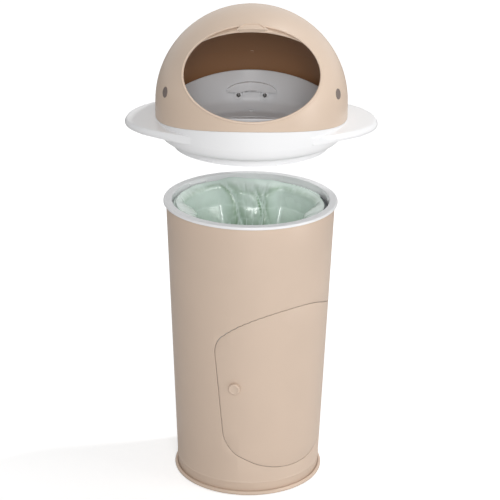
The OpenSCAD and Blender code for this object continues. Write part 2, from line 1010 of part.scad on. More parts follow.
module lid_base() {
    color("white")
        at_lid()
            difference() {
                union() {
                    rotate_extrude()
                        polygon(concat(
                            [[flange_in_r, skirt_h]],
                            [for (k = [0 : bowl_steps])
                                bowl_point(90 * k / bowl_steps, 0)],
                            [[dome_r, dome_c + 8], [dome_r - bowl_t, dome_c + 8]],
                            [for (k = [bowl_steps : -1 : 0])
                                bowl_point(90 * k / bowl_steps, bowl_t)],
                            [[flange_in_r, skirt_h + bowl_t]]
                        ));
                    difference() {
                        for (side = [-1, 1])
                            at_wing(side) {
                                wing(side);
                                wing_web(side);
                                wing_front(side);
                            }
                        translate([0, 0, skirt_h])
                            cylinder(r = dome_r - bowl_t + touch, h = far / 4);
                    }
                    intersection() {
                        screw_spots(leg_ring, leg_turns)
                            translate([0, 0, skirt_h])
                                cylinder(r = leg_r + 1, h = leg_low - pass - skirt_h);
                        bowl_fill();
                    }
                }
                over_arc(joint_arc, joint_low, joint_gap);
                screw_spots(leg_ring, leg_turns) {
                    cylinder(r = dome_screw_r, h = leg_low + 10);
                    cylinder(r = dome_screw_head_r + touch, h = sink_z);
                }
                screw_spots(base_screw_ring, screw_turns)
                    cylinder(r = base_screw_r + touch, h = leg_low);
            }
}

// Everything inside the bowl's outer face
module bowl_fill() {
    rotate_extrude()
        polygon(concat(
            [[0, skirt_h]],
            [for (k = [0 : bowl_steps]) bowl_point(90 * k / bowl_steps, 0)],
            [[dome_r, dome_c], [0, dome_c]]
        ));
}

// Inner face of the funnel, as radius and height, moved inwards by d
function funnel_line(d) = [
    [funnel_top_r - d, dome_c + 20],
    [funnel_mid_r - d, cone_top + d * 0.4],
    [lip_out_r - d * 0.4, lip_top + d]
];

module inner_funnel() {
    inside = funnel_line(0);
    outside = funnel_line(-funnel_t);
    color("whitesmoke")
        at_lid()
            difference() {
                union() {
                    rotate_extrude()
                        polygon([
                            inside[0], inside[1], inside[2],
                            [throat_r, lip_top],
                            [throat_r, lip_top - lip_t],
                            [lip_out_r, lip_top - lip_t],
                            outside[1], outside[0]
                        ]);
                    rotate_extrude()
                        translate([lip_out_r - 1.4, funnel_foot_z])
                            square([2, lip_top - lip_t - funnel_foot_z + bite]);
                    difference() {
                        union() {
                            screw_spots(base_screw_ring, screw_turns)
                                translate([0, 0, boss_foot_z])
                                    cylinder(r = base_boss_r, h = cone_top - boss_foot_z);
                            cover_bosses();
                        }
                        funnel_space(-funnel_t / 2);
                    }
                    flap_ears();
                }
                over_arc(lining_arc, lining_low, 0);
                screw_spots(base_screw_ring, screw_turns)
                    cylinder(r = base_screw_r, h = base_screw_top);
                cover_screw_axes()
                    cylinder(r = base_screw_r, h = 13, center = true);
                translate([0, flap_axis_y, flap_axis_z])
                    rotate([0, 90, 0])
                        cylinder(r = flap_pin_r, h = 2 * pin_half, center = true);
            }
}

// Room inside the funnel, moved inwards by d
module funnel_space(d) {
    inside = funnel_line(d);
    rotate_extrude()
        polygon([
            [0, lip_top + d],
            inside[2], inside[1], inside[0],
            [0, dome_c + 20]
        ]);
}

module flap_ears() {
    for (side = [-1, 1])
        translate([side * ear_x - ear_w / 2, flap_axis_y - 3, flap_axis_z - 2.6])
            cube([ear_w, 7, lip_top - lip_t - flap_axis_z + 2.6 + bite]);
}

// Axes of the cover's screws, from the wall's inner face outwards
cover_wall_y = sqrt(pow(funnel_mid_r + 1.2, 2) - cover_screw_x * cover_screw_x);
module cover_screw_axes() {
    for (side = [-1, 1])
        translate([side * cover_screw_x, cover_wall_y, cover_screw_z])
            rotate([-90, 0, 0])
                children();
}
module cover_bosses() {
    cover_screw_axes()
        cylinder(r = 4, h = 8);
}

module base_screws() {
    head_t = 1.8;
    low = skirt_h - touch - flange_t;
    color("silver")
        at_lid()
            screw_spots(base_screw_ring, screw_turns) {
                translate([0, 0, low - head_t])
                    cylinder(r = base_screw_head_r, h = head_t);
                translate([0, 0, low - head_t])
                    cylinder(r = base_screw_r, h = base_screw_top - low + head_t);
            }
}

// Front view of the cover: an arch with two bosses and a tongue below
module cover_outline() {
    polygon(concat(
        [for (t = [0 : 10 : 180]) [cover_half * cos(t), cover_spring + cover_rise * sin(t)]],
        [[-cover_half, cover_foot], [cover_half, cover_foot]]
    ));
    for (side = [-1, 1])
        translate([side * cover_screw_x, cover_screw_z])
            circle(r = cover_boss_r);
    translate([-tongue_half, tongue_low])
        square([2 * tongue_half, cover_foot - tongue_low + bite]);
}

// Front view of the tongue's sunk face, under the arch
module tongue_face() {
    polygon(concat(
        [for (t = [0 : 15 : 180]) [recess_half * cos(t), recess_spring + recess_rise * sin(t)]],
        [[-recess_half, tongue_low - 1], [recess_half, tongue_low - 1]]
    ));
}

module through_back() {
    translate([0, 0, 0])
        rotate([90, 0, 180])
            linear_extrude(height = far / 4)
                children();
}

module spring_cover() {
    outer = funnel_line(pass);
    inner = funnel_line(pass + cover_t);
    sunk = funnel_line(pass + tongue_t);
    front = funnel_line(pass + cover_t + 1);
    color("whitesmoke")
        at_lid()
            difference() {
                intersection() {
                    rotate_extrude()
                        polygon([outer[0], outer[1], outer[2], inner[2], inner[1], inner[0]]);
                    through_back()
                        cover_outline();
                }
                intersection() {
                    rotate_extrude()
                        polygon([sunk[0], sunk[1], sunk[2], front[2], front[1], front[0]]);
                    through_back()
                        tongue_face();
                }
                cover_screw_axes() {
                    cylinder(r = base_screw_r + touch, h = 20, center = true);
                    translate([0, 0, -10 - 1.4])
                        cylinder(r = cover_screw_head_r + touch, h = 10);
                }
            }
}

module cover_screws() {
    color("silver")
        at_lid()
            cover_screw_axes()
                translate([0, 0, -3.2]) {
                    cylinder(r = cover_screw_head_r, h = 1.8);
                    cylinder(r = base_screw_r, h = 9);
                }
}

// A hemisphere on a straight wall, about the dome's centre
module dome_solid(r) {
    intersection() {
        sphere(r = r);
        translate([-r - 1, -r - 1, 0])
            cube([2 * r + 2, 2 * r + 2, r + 1]);
    }
    translate([0, 0, -dome_c + skirt_h])
        cylinder(r = r, h = dome_c - skirt_h + 0.01);
}

// The opening's ellipse along its tilted axis, grown by d
mouth_steps = 96;
module mouth_block(d) {
    rotate([90 - mouth_tilt, 0, 0])
        linear_extrude(height = far / 2)
            translate([0, mouth_rise])
                polygon([for (k = [0 : mouth_steps - 1])
                    let (t = 360 * k / mouth_steps)
                    [(mouth_w + d) * cos(t), (mouth_h + d) * sin(t)]]);
}

// Local z points out of the dome, towards a stop plug
module plug_axis(side) {
    rotate([-plug_elev, 0, 0])
        rotate([0, 0, side * (90 - plug_polar)])
            rotate([90, 0, 0])
                children();
}

module pivot_axis(side) {
    rotate([0, side * 90, 0])
        children();
}

module dome_shell() {
    color("tan")
        at_dome()
            difference() {
                union() {
                    intersection() {
                        difference() {
                            dome_solid(dome_r);
                            translate([0, 0, -1])
                                dome_solid_inner();
                        }
                        translate([0, 0, -dome_c])
                            over_arc(joint_arc, joint_low, 0);
                    }
                    intersection() {
                        difference() {
                            sphere(r = dome_r + bead_h);
                            sphere(r = dome_in_r + 0.6);
                        }
                        mouth_block(bead_w);
                    }
                    intersection() {
                        screw_spots(leg_ring, leg_turns)
                            translate([0, 0, leg_low - dome_c])
                                cylinder(r = leg_r, h = leg_top - leg_low);
                        translate([0, 0, -dome_c])
                            leg_room();
                    }
                }
                mouth_block(0);
                for (side = [-1, 1]) {
                    plug_axis(side) {
                        cylinder(r = plug_r + touch, h = far);
                        translate([0, 0, dome_r - cap_sink])
                            cylinder(r = cap_r + touch, h = 20);
                    }
                    pivot_axis(side)
                        cylinder(r = pivot_r, h = dome_r - 0.8);
                }
                screw_spots(leg_ring, leg_turns)
                    translate([0, 0, leg_low - dome_c - 1])
                        cylinder(r = dome_screw_r, h = leg_hole + 1);
            }
}

// Where a leg may stand: in the dome's wall above the joint, and clear of the bowl below it
module leg_room() {
    intersection() {
        cylinder(r = dome_in_r + bite, h = dome_c);
        over_arc(joint_arc, joint_low, 0);
    }
    rotate_extrude()
        polygon(concat(
            [[0, skirt_h + bowl_t + touch]],
            [for (k = [0 : bowl_steps]) bowl_point(90 * k / bowl_steps, bowl_t + touch)],
            [[dome_r - bowl_t - touch, dome_c], [0, dome_c]]
        ));
}

module dome_solid_inner() {
    translate([0, 0, 1])
        dome_solid(dome_in_r);
    translate([0, 0, -dome_c])
        cylinder(r = dome_in_r, h = dome_c);
}

module dome_screws() {
    color("silver")
        at_lid()
            screw_spots(leg_ring, leg_turns)
                translate([0, 0, sink_z - dome_screw_head_t]) {
                    cylinder(r = dome_screw_head_r, h = dome_screw_head_t);
                    cylinder(r = dome_screw_r, h = leg_low + leg_hole - 1 - sink_z
                        + dome_screw_head_t);
                }
}

module pivot_pins() {
    head_out = visor_in_r - pass;
    color("silver")
        at_dome()
            for (side = [-1, 1])
                pivot_axis(side) {
                    translate([0, 0, head_out - pin_head_t])
                        cylinder(r = pin_head_r, h = pin_head_t);
                    translate([0, 0, head_out - bite])
                        cylinder(r = pivot_r, h = dome_r - 0.9 - head_out + bite);
                }
}

module stop_plugs() {
    color("dimgray")
        at_dome()
            for (side = [-1, 1])
                plug_axis(side) {
                    translate([0, 0, dome_r - cap_sink])
                        cylinder(r = cap_r, h = cap_sink + cap_proud);
                    translate([0, 0, plug_in_r])
                        cylinder(r = plug_r, h = dome_r - plug_in_r);
                }
}

module flap_pin() {
    color("silver")
        at_lid()
            translate([0, flap_axis_y, flap_axis_z])
                rotate([0, 90, 0])
                    cylinder(r = flap_pin_r, h = 2 * pin_half, center = true);
}

// A coil on the flap's pin with one leg under the funnel's lip and one under the flap
wire_sides = 6;
turn_steps = 8;
coil_steps = spring_turns * turn_steps;
function coil_at(k) =
    let (t = 360 * k / turn_steps)
    [
        -coil_half + 2 * coil_half * k / coil_steps,
        flap_axis_y + coil_r * sin(t),
        flap_axis_z + coil_r * cos(t)
    ];
spring_path = concat(
    [coil_at(0) + [0, leg_len, 0]],
    [for (k = [0 : coil_steps]) coil_at(k)],
    [
        coil_at(coil_steps) + [0, -coil_r * 0.6, -coil_r * 0.2],
        coil_at(coil_steps) + [0, -leg_len, -1]
    ]
);
function along(path, i) =
    unit(path[min(i + 1, len(path) - 1)] - path[max(i - 1, 0)]);
function wire_ring(path, i) =
    let (
        d = along(path, i),
        n = unit(cross(d, abs(d[0]) > 0.9 ? [0, 1, 0] : [1, 0, 0])),
        b = cross(d, n)
    )
    [for (j = [0 : wire_sides - 1])
        let (t = 360 * j / wire_sides)
        path[i] + wire_d / 2 * (cos(t) * n + sin(t) * b)];
module wire(path) {
    n = len(path);
    m = wire_sides;
    points = [for (i = [0 : n - 1]) each wire_ring(path, i)];
    sides = [for (i = [0 : n - 2]) for (j = [0 : m - 1]) each [
        [i * m + j, i * m + (j + 1) % m, (i + 1) * m + j],
        [i * m + (j + 1) % m, (i + 1) * m + (j + 1) % m, (i + 1) * m + j]
    ]];
    ends = [
        [for (j = [m - 1 : -1 : 0]) j],
        [for (j = [0 : m - 1]) (n - 1) * m + j]
    ];
    polyhedron(points, concat(sides, ends));
}

module flap_spring() {
    color("silver")
        at_lid()
            wire(spring_path);
}

// Wedge between two elevations about the X axis
module lune(low, high) {
    mid = (low + high) / 2;
    rotate([90, 0, 90])
        linear_extrude(height = far, center = true)
            polygon(concat(
                [[0, 0]],
                [for (e = [low, mid, high]) [-far / 2 * cos(e), far / 2 * sin(e)]]
            ));
}

// Front view of the finger tab along the radius at elevation e
module tab_block(e_low, e_high, w_low, w_high) {
    e = (e_low + e_high) / 2;
    reach = visor_r * sin((e_high - e_low) / 2);
    rotate([90 - e, 0, 0])
        linear_extrude(height = far / 2)
            polygon([[-w_low, -reach], [w_low, -reach], [w_high, reach], [-w_high, reach]]);
}

module shell_of(outer, inner) {
    difference() {
        sphere(r = outer);
        sphere(r = inner);
    }
}

// Half width of the tab at an elevation, on its sloping sides
function tab_half(e) =
    tab_w + (tab_top_w - tab_w) * (e - tab_elev_low) / (tab_elev_top - tab_elev_low);

module visor() {
    wide = visor_r * cos(arm_polar);
    color("tan")
        at_dome()
            difference() {
                union() {
                    intersection() {
                        shell_of(visor_r, visor_in_r);
                        union() {
                            intersection() {
                                lune(lip_open, lip_open + visor_span);
                                cube([2 * wide, far, far], center = true);
                            }
                            lune(arm_front, lip_open + visor_span);
                            for (side = [-1, 1])
                                pivot_axis(side)
                                    cylinder(r = ear_r, h = far);
                        }
                    }
                    intersection() {
                        shell_of(tab_low_r + bite, visor_in_r + 0.5);
                        tab_block(tab_elev_low, tab_elev_stalk, tab_w, tab_half(tab_elev_stalk));
                    }
                    intersection() {
                        shell_of(tab_low_r + tab_t, tab_low_r);
                        tab_block(tab_elev_low, tab_elev_top, tab_w, tab_top_w);
                    }
                }
                difference() {
                    intersection() {
                        shell_of(tab_low_r + tab_t + 1, tab_low_r + tab_t - pad_sink);
                        pad_block(0);
                    }
                    tab_ribs();
                }
                pivot_axis(1)
                    cylinder(r = pivot_r + run, h = far, center = true);
            }
}

// Sunk area inside the tab's raised border, and the grip ribs that are left standing in it
module pad_block(d) {
    edge = atan((pad_inset * 0.6 + d) / visor_r);
    tab_block(tab_elev_low + edge, tab_elev_top - edge,
        tab_half(tab_elev_low) - pad_inset * 1.4 - d, tab_half(tab_elev_top) - pad_inset - d);
}
module tab_ribs() {
    mid = (tab_elev_low + tab_elev_top) / 2;
    for (e = [mid - 0.75, mid + 0.75])
        rotate([90 - e, 0, 0])
            translate([-tab_top_w * 0.8, -tab_rib, 0])
                cube([tab_top_w * 1.6, 2 * tab_rib, tab_low_r + tab_t]);
}

module throat_flap() {
    color("whitesmoke")
        at_lid()
            difference() {
                union() {
                    translate([0, 0, flap_low])
                        cylinder(r = flap_r, h = flap_t);
                    for (side = [-1, 1]) {
                        translate([side * flap_arm_x, flap_axis_y, flap_axis_z])
                            rotate([0, 90, 0])
                                cylinder(r = flap_knuckle_r, h = flap_arm_w, center = true);
                        translate([side * flap_arm_x - flap_arm_w / 2, flap_axis_y - 20,
                                flap_axis_z - flap_knuckle_r])
                            cube([flap_arm_w, 20, flap_low - flap_axis_z + flap_knuckle_r + bite]);
                    }
                }
                translate([0, flap_axis_y, flap_axis_z])
                    rotate([0, 90, 0])
                        cylinder(r = flap_pin_r + run, h = far, center = true);
            }
}

body_shell();
base_rim();
floor_pan();
foot_ring();
collar();
door_frame();
body_hinge_leaves();
body_hinge_rivets();
hinge_pins();
door_panel();
door_stiffener();
door_hinge_leaves();
door_hinge_rivets();
knob_bush();
door_knob();
latch_cam();
cam_washer();
cam_screw();
bag_ring();
bag();
seal_ring();
lock_ring();
lid_base();
inner_funnel();
base_screws();
spring_cover();
cover_screws();
dome_shell();
dome_screws();
pivot_pins();
stop_plugs();
flap_pin();
flap_spring();
visor();
throat_flap();
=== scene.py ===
import json
import math
import random

import bmesh
import bpy
from bpy.props import FloatProperty, FloatVectorProperty, IntProperty, PointerProperty
from mathutils import Matrix, Vector


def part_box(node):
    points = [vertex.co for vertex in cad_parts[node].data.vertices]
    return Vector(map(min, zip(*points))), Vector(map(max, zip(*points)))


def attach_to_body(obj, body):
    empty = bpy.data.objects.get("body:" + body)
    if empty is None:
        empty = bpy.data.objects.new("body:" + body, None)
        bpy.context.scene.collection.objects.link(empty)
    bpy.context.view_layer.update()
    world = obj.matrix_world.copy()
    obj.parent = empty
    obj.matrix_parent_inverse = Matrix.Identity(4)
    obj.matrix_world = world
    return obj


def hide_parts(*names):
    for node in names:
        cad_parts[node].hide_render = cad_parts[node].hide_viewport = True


bl_info = {
    "name": "Diaper Pail",
    "version": (1, 0, 0),
    "blender": (4, 5, 0),
    "location": "View3D > Sidebar > Pail",
    "description": "Builds the visible pieces and finishes of a steel diaper pail",
    "category": "Object",
}

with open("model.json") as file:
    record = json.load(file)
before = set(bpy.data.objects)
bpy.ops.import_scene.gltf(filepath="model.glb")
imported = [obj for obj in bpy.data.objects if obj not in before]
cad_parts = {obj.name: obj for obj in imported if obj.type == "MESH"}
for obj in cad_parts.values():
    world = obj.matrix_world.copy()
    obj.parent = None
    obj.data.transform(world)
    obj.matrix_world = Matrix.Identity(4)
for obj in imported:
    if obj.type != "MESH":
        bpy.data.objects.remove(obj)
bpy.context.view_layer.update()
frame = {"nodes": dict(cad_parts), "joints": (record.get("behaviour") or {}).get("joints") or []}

MM = 0.001
JOINTS = {j["name"]: j for j in frame["joints"]}

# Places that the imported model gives, in mm
LID_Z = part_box("lock_ring")[0].z / MM
DOME = Vector(JOINTS["visor_turn"]["pos_m"]) / MM
KNOB = Vector(JOINTS["knob_turn"]["pos_m"]) / MM
KNOB_OUT = Vector(JOINTS["knob_turn"]["axis"])
BRIM_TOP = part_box("collar")[1].z / MM
RING_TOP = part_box("bag_ring")[1].z / MM

# The steel wall: radius at the floor, radius and height at the upper edge, and thickness
WALL_LOW_R, WALL_TOP_R, WALL_TOP, SHEET = 108.3, 125.0, 432.0, 1.2
# Inner radius of the collar's mouth
MOUTH_R = 116.5
# The dome: outer radius, wall, and height of its centre above the lock ring's edge
DOME_R, DOME_T, LID_TO_DOME = 139.5, 2.2, 64.2


def srgb(red, green, blue):
    """Linear colour of an 8-bit screen colour."""
    def linear(value):
        c = value / 255
        return c / 12.92 if c <= 0.04045 else ((c + 0.055) / 1.055) ** 2.4
    return (linear(red), linear(green), linear(blue))


def wall_r(z):
    """Outer radius of the steel wall at a height."""
    return WALL_LOW_R + (WALL_TOP_R - WALL_LOW_R) * z / WALL_TOP


def smooth(t):
    """0 to 1 with level ends."""
    t = min(max(t, 0.0), 1.0)
    return t * t * (3 - 2 * t)


# Settings

class PailColours(bpy.types.PropertyGroup):
    enamel: FloatVectorProperty(
        name="Enamel", description="Paint of the steel can and its door",
        subtype="COLOR", size=3, min=0, max=1, default=srgb(216, 194, 175))
    dome: FloatVectorProperty(
        name="Dome", description="Plastic of the dome and the visor",
        subtype="COLOR", size=3, min=0, max=1, default=srgb(219, 197, 177))
    # Painted shade: a darker brown on the inner faces of the dome and the visor stands in for the
    # shade inside the dome.
    dome_inside: FloatVectorProperty(
        name="Dome inside", description="Inner face of the dome and the visor",
        subtype="COLOR", size=3, min=0, max=1, default=srgb(158, 117, 84))
    white: FloatVectorProperty(
        name="White", description="Plastic of the lid's base and the collar",
        subtype="COLOR", size=3, min=0, max=1, default=srgb(244, 244, 245))
    lining: FloatVectorProperty(
        name="Lining", description="Plastic of the funnel, its cover and the flap",
        subtype="COLOR", size=3, min=0, max=1, default=srgb(222, 223, 225))
    film: FloatVectorProperty(
        name="Film", description="Film of the bag",
        subtype="COLOR", size=3, min=0, max=1, default=srgb(234, 250, 241))
    # Painted shade on the film: a darker green deep in the bag, in its creases and on some
    # facets, partly also the real darker green where layers overlap.
    film_deep: FloatVectorProperty(
        name="Film in depth", description="Film where its folds lie over each other",
        subtype="COLOR", size=3, min=0, max=1, default=srgb(124, 160, 122))
    ring: FloatVectorProperty(
        name="Bag ring", description="Plastic of the ring that holds the bag",
        subtype="COLOR", size=3, min=0, max=1, default=srgb(62, 70, 74))
    plug: FloatVectorProperty(
        name="Plugs", description="Rubber of the stop plugs in the dome",
        subtype="COLOR", size=3, min=0, max=1, default=srgb(124, 112, 106))
    steel: FloatVectorProperty(
        name="Steel", description="Bare and plated steel parts",
        subtype="COLOR", size=3, min=0, max=1, default=srgb(188, 187, 184))
    rubber: FloatVectorProperty(
        name="Foot rubber", description="Rubber of the foot ring",
        subtype="COLOR", size=3, min=0, max=1, default=srgb(44, 43, 43))


class PailShape(bpy.types.PropertyGroup):
    turns: IntProperty(
        name="Turned faces", description="Faces round each turned piece",
        default=192, min=48, max=256)
    door_gap: FloatProperty(
        name="Door gap", description="Gap round the door",
        subtype="DISTANCE", unit="LENGTH", default=1.0 * MM, min=0.5 * MM, max=2 * MM)
    edge: FloatProperty(
        name="Edge rounding", description="Rounding of the steel edges",
        subtype="DISTANCE", unit="LENGTH", default=0.4 * MM, min=0.1 * MM, max=1 * MM)
    wing_droop: FloatProperty(
        name="Wing droop", description="Fall of a wing from the dome's edge to its tip",
        subtype="DISTANCE", unit="LENGTH", default=4.6 * MM, min=0, max=9 * MM)
    wing_edge: FloatProperty(
        name="Wing edge", description="Height of a wing's rounded edge",
        subtype="DISTANCE", unit="LENGTH", default=11.2 * MM, min=6 * MM, max=14 * MM)


class PailFilm(bpy.types.PropertyGroup):
    crumple: FloatProperty(
        name="Crumple", description="Scale of the film's folds",
        subtype="DISTANCE", unit="LENGTH", default=4.0 * MM, min=0, max=8 * MM)
    seed: IntProperty(
        name="Seed", description="Picks another set of crumples",
        default=7, min=0, max=999)


class PailStage(bpy.types.PropertyGroup):
    lens: FloatProperty(
        name="Lens", description="Focal length of the camera on a 36 mm sensor",
        default=128.25, min=20, max=300)
    distance: FloatProperty(
        name="Distance", description="Level distance from the pail's axis to the camera",
        subtype="DISTANCE", unit="LENGTH", default=2.4915, min=0.5, max=10)
    height: FloatProperty(
        name="Height", description="Height of the camera",
        subtype="DISTANCE", unit="LENGTH", default=1.3008, min=0, max=5)
    pitch: FloatProperty(
        name="Pitch", description="Tilt of the camera below level",
        subtype="ANGLE", default=math.radians(20.81), min=0, max=math.radians(89))
    roll: FloatProperty(
        name="Roll", description="Turn of the camera about its line of sight",
        subtype="ANGLE", default=math.radians(0.6), min=math.radians(-5), max=math.radians(5))
    key: FloatProperty(
        name="Key light", description="Power of the large light on the right, in watts",
        default=18.0, min=0, max=500)
    front: FloatProperty(
        name="Front light", description="Power of the light beside the camera, in watts",
        default=33.5, min=0, max=500)
    top: FloatProperty(
        name="Top light", description="Power of the light high on the right, in watts",
        default=18.0, min=0, max=500)
    sky: FloatProperty(
        name="Sky", description="Strength of the plain surroundings",
        default=0.34, min=0, max=2)


# Mesh tools

def section(bm, outline, closed=True):
    """A turned piece's outline in the XZ plane, from (radius, height, rounding) in mm."""
    verts = [bm.verts.new((p[0] * MM, 0, p[1] * MM)) for p in outline]
    for a, b in zip(verts, verts[1:]):
        bm.edges.new((a, b))
    if closed:
        bm.edges.new((verts[-1], verts[0]))
    for v, p in zip(verts, outline):
        if len(p) > 2 and p[2] > 0:
            rounded(bm, [v], p[2], 4, "VERTICES")
    return list(bm.verts), list(bm.edges)


def rolled(bm, degrees, axis, verts=None):
    """Turns a bmesh, or some of its vertices, about an axis through the origin."""
    bmesh.ops.rotate(
        bm, verts=verts or bm.verts, cent=(0, 0, 0),
        matrix=Matrix.Rotation(math.radians(degrees), 3, axis))


def turned(outline, steps=None, sweep=360.0, start=0.0, closed=True):
    """A bmesh spun from an outline about the pail's axis."""
    bm = bmesh.new()
    verts, edges = section(bm, outline, closed)
    if start:
        rolled(bm, start, "Z", verts)
    full = abs(sweep) >= 360
    bmesh.ops.spin(
        bm, geom=verts + edges, cent=(0, 0, 0), axis=(0, 0, 1), dvec=(0, 0, 0),
        angle=math.radians(sweep), steps=steps or bpy.context.scene.pail_shape.turns,
        use_merge=full)
    if not full:
        ends = [e for e in bm.edges if e.is_boundary]
        bmesh.ops.holes_fill(bm, edges=ends, sides=0)
    tidy(bm)
    return bm


def tidy(bm):
    """Merges doubles and points every face outwards."""
    bmesh.ops.remove_doubles(bm, verts=bm.verts, dist=1e-6)
    bmesh.ops.recalc_face_normals(bm, faces=bm.faces)


def shift(bm, x=0.0, y=0.0, z=0.0):
    """Moves a whole bmesh, in mm."""
    bmesh.ops.translate(bm, verts=bm.verts, vec=(x * MM, y * MM, z * MM))


def polar(radius, degrees):
    """Point of a circle about the origin."""
    turn = math.radians(degrees)
    return radius * math.cos(turn), radius * math.sin(turn)


def arc(x, y, radius, turns):
    """Points of an arc about a centre, at the turns given in degrees."""
    return [(x + across, y + along) for across, along in (polar(radius, t) for t in turns)]


def rounded(bm, geom, offset, segments, affect):
    """Rounds vertices of a flat outline, or edges, by an offset in mm."""
    bmesh.ops.bevel(
        bm, geom=geom, offset=offset * MM, offset_type="OFFSET", segments=segments,
        profile=0.5, affect=affect, material=-1)


def block(size, centre, rounding=0.0):
    """A box from its size and centre in mm, with rounded edges if asked."""
    bm = bmesh.new()
    bmesh.ops.create_cube(bm, size=1)
    bmesh.ops.scale(bm, verts=bm.verts, vec=[side * MM for side in size])
    if rounding:
        rounded(bm, bm.edges[:], rounding, 2, "EDGES")
    shift(bm, *centre)
    return bm


def pulled(bm, vec):
    """Extrudes every face of a flat bmesh along vec, and gives the new vertices."""
    made = bmesh.ops.extrude_face_region(bm, geom=list(bm.faces))
    fresh = [g for g in made["geom"] if isinstance(g, bmesh.types.BMVert)]
    bmesh.ops.translate(bm, verts=fresh, vec=vec)
    return fresh


def join(bm, other):
    """Adds another bmesh to bm and frees it."""
    mesh = bpy.data.meshes.new("part")
    other.to_mesh(mesh)
    other.free()
    bm.from_mesh(mesh)
    bpy.data.meshes.remove(mesh)


def as_object(bm, name):
    """A linked object that holds bm."""
    mesh = bpy.data.meshes.new(name)
    bm.to_mesh(mesh)
    bm.free()
    obj = bpy.data.objects.new(name, mesh)
    bpy.context.scene.collection.objects.link(obj)
    return obj


def settle(obj):
    """Applies the object's modifiers to its mesh."""
    bpy.context.view_layer.update()
    graph = bpy.context.evaluated_depsgraph_get()
    made = bpy.data.meshes.new_from_object(obj.evaluated_get(graph))
    old = obj.data
    obj.modifiers.clear()
    obj.data = made
    bpy.data.meshes.remove(old)
    made.name = obj.name


def discard(obj):
    """Removes a helper object and its mesh."""
    mesh = obj.data
    bpy.data.objects.remove(obj)
    bpy.data.meshes.remove(mesh)


def taken(obj):
    """The bmesh of a helper object, which is then removed."""
    bm = bmesh.new()
    bm.from_mesh(obj.data)
    discard(obj)
    return bm


def attach(obj, bm):
    """Adds a bmesh to an object's mesh and frees it."""
    whole = bmesh.new()
    whole.from_mesh(obj.data)
    join(whole, bm)
    whole.to_mesh(obj.data)
    whole.free()


def carve(obj, cutter, operation="DIFFERENCE"):
    """Cuts obj with another object, which is then removed."""
    cut = obj.modifiers.new("Cut", "BOOLEAN")
    cut.operation = operation
    cut.solver = "EXACT"
    cut.object = cutter
    settle(obj)
    discard(cutter)


def round_edges(obj, width, segments=2, angle=35.0):
    """Rounds the sharp edges by width, in mm."""
    bevel = obj.modifiers.new("Rounded edges", "BEVEL")
    bevel.limit_method = "ANGLE"
    bevel.angle_limit = math.radians(angle)
    bevel.width = width * MM
    bevel.segments = segments
    bevel.use_clamp_overlap = True
    bevel.miter_outer = "MITER_ARC"
    settle(obj)


def shade(obj, angle=35.0):
    """Smooth shading that stays sharp over an angle."""
    obj.data.polygons.foreach_set("use_smooth", [True] * len(obj.data.polygons))
    obj.data.set_sharp_from_angle(angle=math.radians(angle))


def place(obj, body, slot, node, kind=None):
    """Gives a finished piece its body and its finish, named by the kind or else by the slot, and
    hides the node it stands for.
    """
    obj.data.materials.clear()
    obj.data.materials.append(finish(kind or slot))
    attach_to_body(obj, body)
    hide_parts(node)


def piece(bm, name, body, slot, node, kind=None, sharp=35.0):
    """Makes a bmesh the finished piece that stands for a CAD node."""
    obj = as_object(bm, name)
    shade(obj, sharp)
    place(obj, body, slot, node, kind)


# Shader groups

def new_group(name, inputs, outputs):
    """An empty shader group with named sockets, and its input and output nodes."""
    group = bpy.data.node_groups.new(name, "ShaderNodeTree")
    for label, kind, value in inputs:
        socket = group.interface.new_socket(name=label, in_out="INPUT", socket_type=kind)
        socket.default_value = value
    for label, kind in outputs:
        group.interface.new_socket(name=label, in_out="OUTPUT", socket_type=kind)
    return group, group.nodes.new("NodeGroupInput"), group.nodes.new("NodeGroupOutput")


def feed(tree, node, inputs):
    """Gives a node its inputs, each another node's output or a plain value."""
    for key, source in inputs.items():
        if isinstance(source, bpy.types.NodeSocket):
            tree.links.new(source, node.inputs[key])
        else:
            node.inputs[key].default_value = source


def add_node(tree, kind, inputs, **settings):
    """A shader node with its settings and its inputs."""
    node = tree.nodes.new("ShaderNode" + kind)
    for name, value in settings.items():
        setattr(node, name, value)
    feed(tree, node, inputs)
    return node


def noise(tree, where, scale, detail):
    """Value of a noise texture at a place."""
    node = add_node(tree, "TexNoise", {
        "Vector": where, "Scale": scale, "Detail": detail, "Roughness": 0.5})
    return node.outputs["Fac"]


def mottle_group():
    """A colour that drifts between two values over the surface."""
    name = "Mottled colour"
    if name in bpy.data.node_groups:
        return bpy.data.node_groups[name]
    group, start, end = new_group(
        name,
        [("Colour", "NodeSocketColor", (0.8, 0.8, 0.8, 1)),
         ("Second colour", "NodeSocketColor", (0.7, 0.7, 0.7, 1)),
         ("Scale", "NodeSocketFloat", 20.0),
         ("Spread", "NodeSocketFloat", 0.5)],
        [("Colour", "NodeSocketColor"), ("Mask", "NodeSocketFloat")])
    where = add_node(group, "TexCoord", {}).outputs["Object"]
    cloud = noise(group, where, start.outputs["Scale"], 3.0)
    level = add_node(group, "MapRange", {"From Min": 0.35, "From Max": 0.65, "Value": cloud})
    share = add_node(
        group, "Math", {0: level.outputs["Result"], 1: start.outputs["Spread"]},
        operation="MULTIPLY")
    mix = add_node(group, "Mix", {
        "Factor": share.outputs["Value"], 6: start.outputs["Colour"],
        7: start.outputs["Second colour"]}, data_type="RGBA")
    feed(group, end, {"Colour": mix.outputs[2], "Mask": share.outputs["Value"]})
    return group


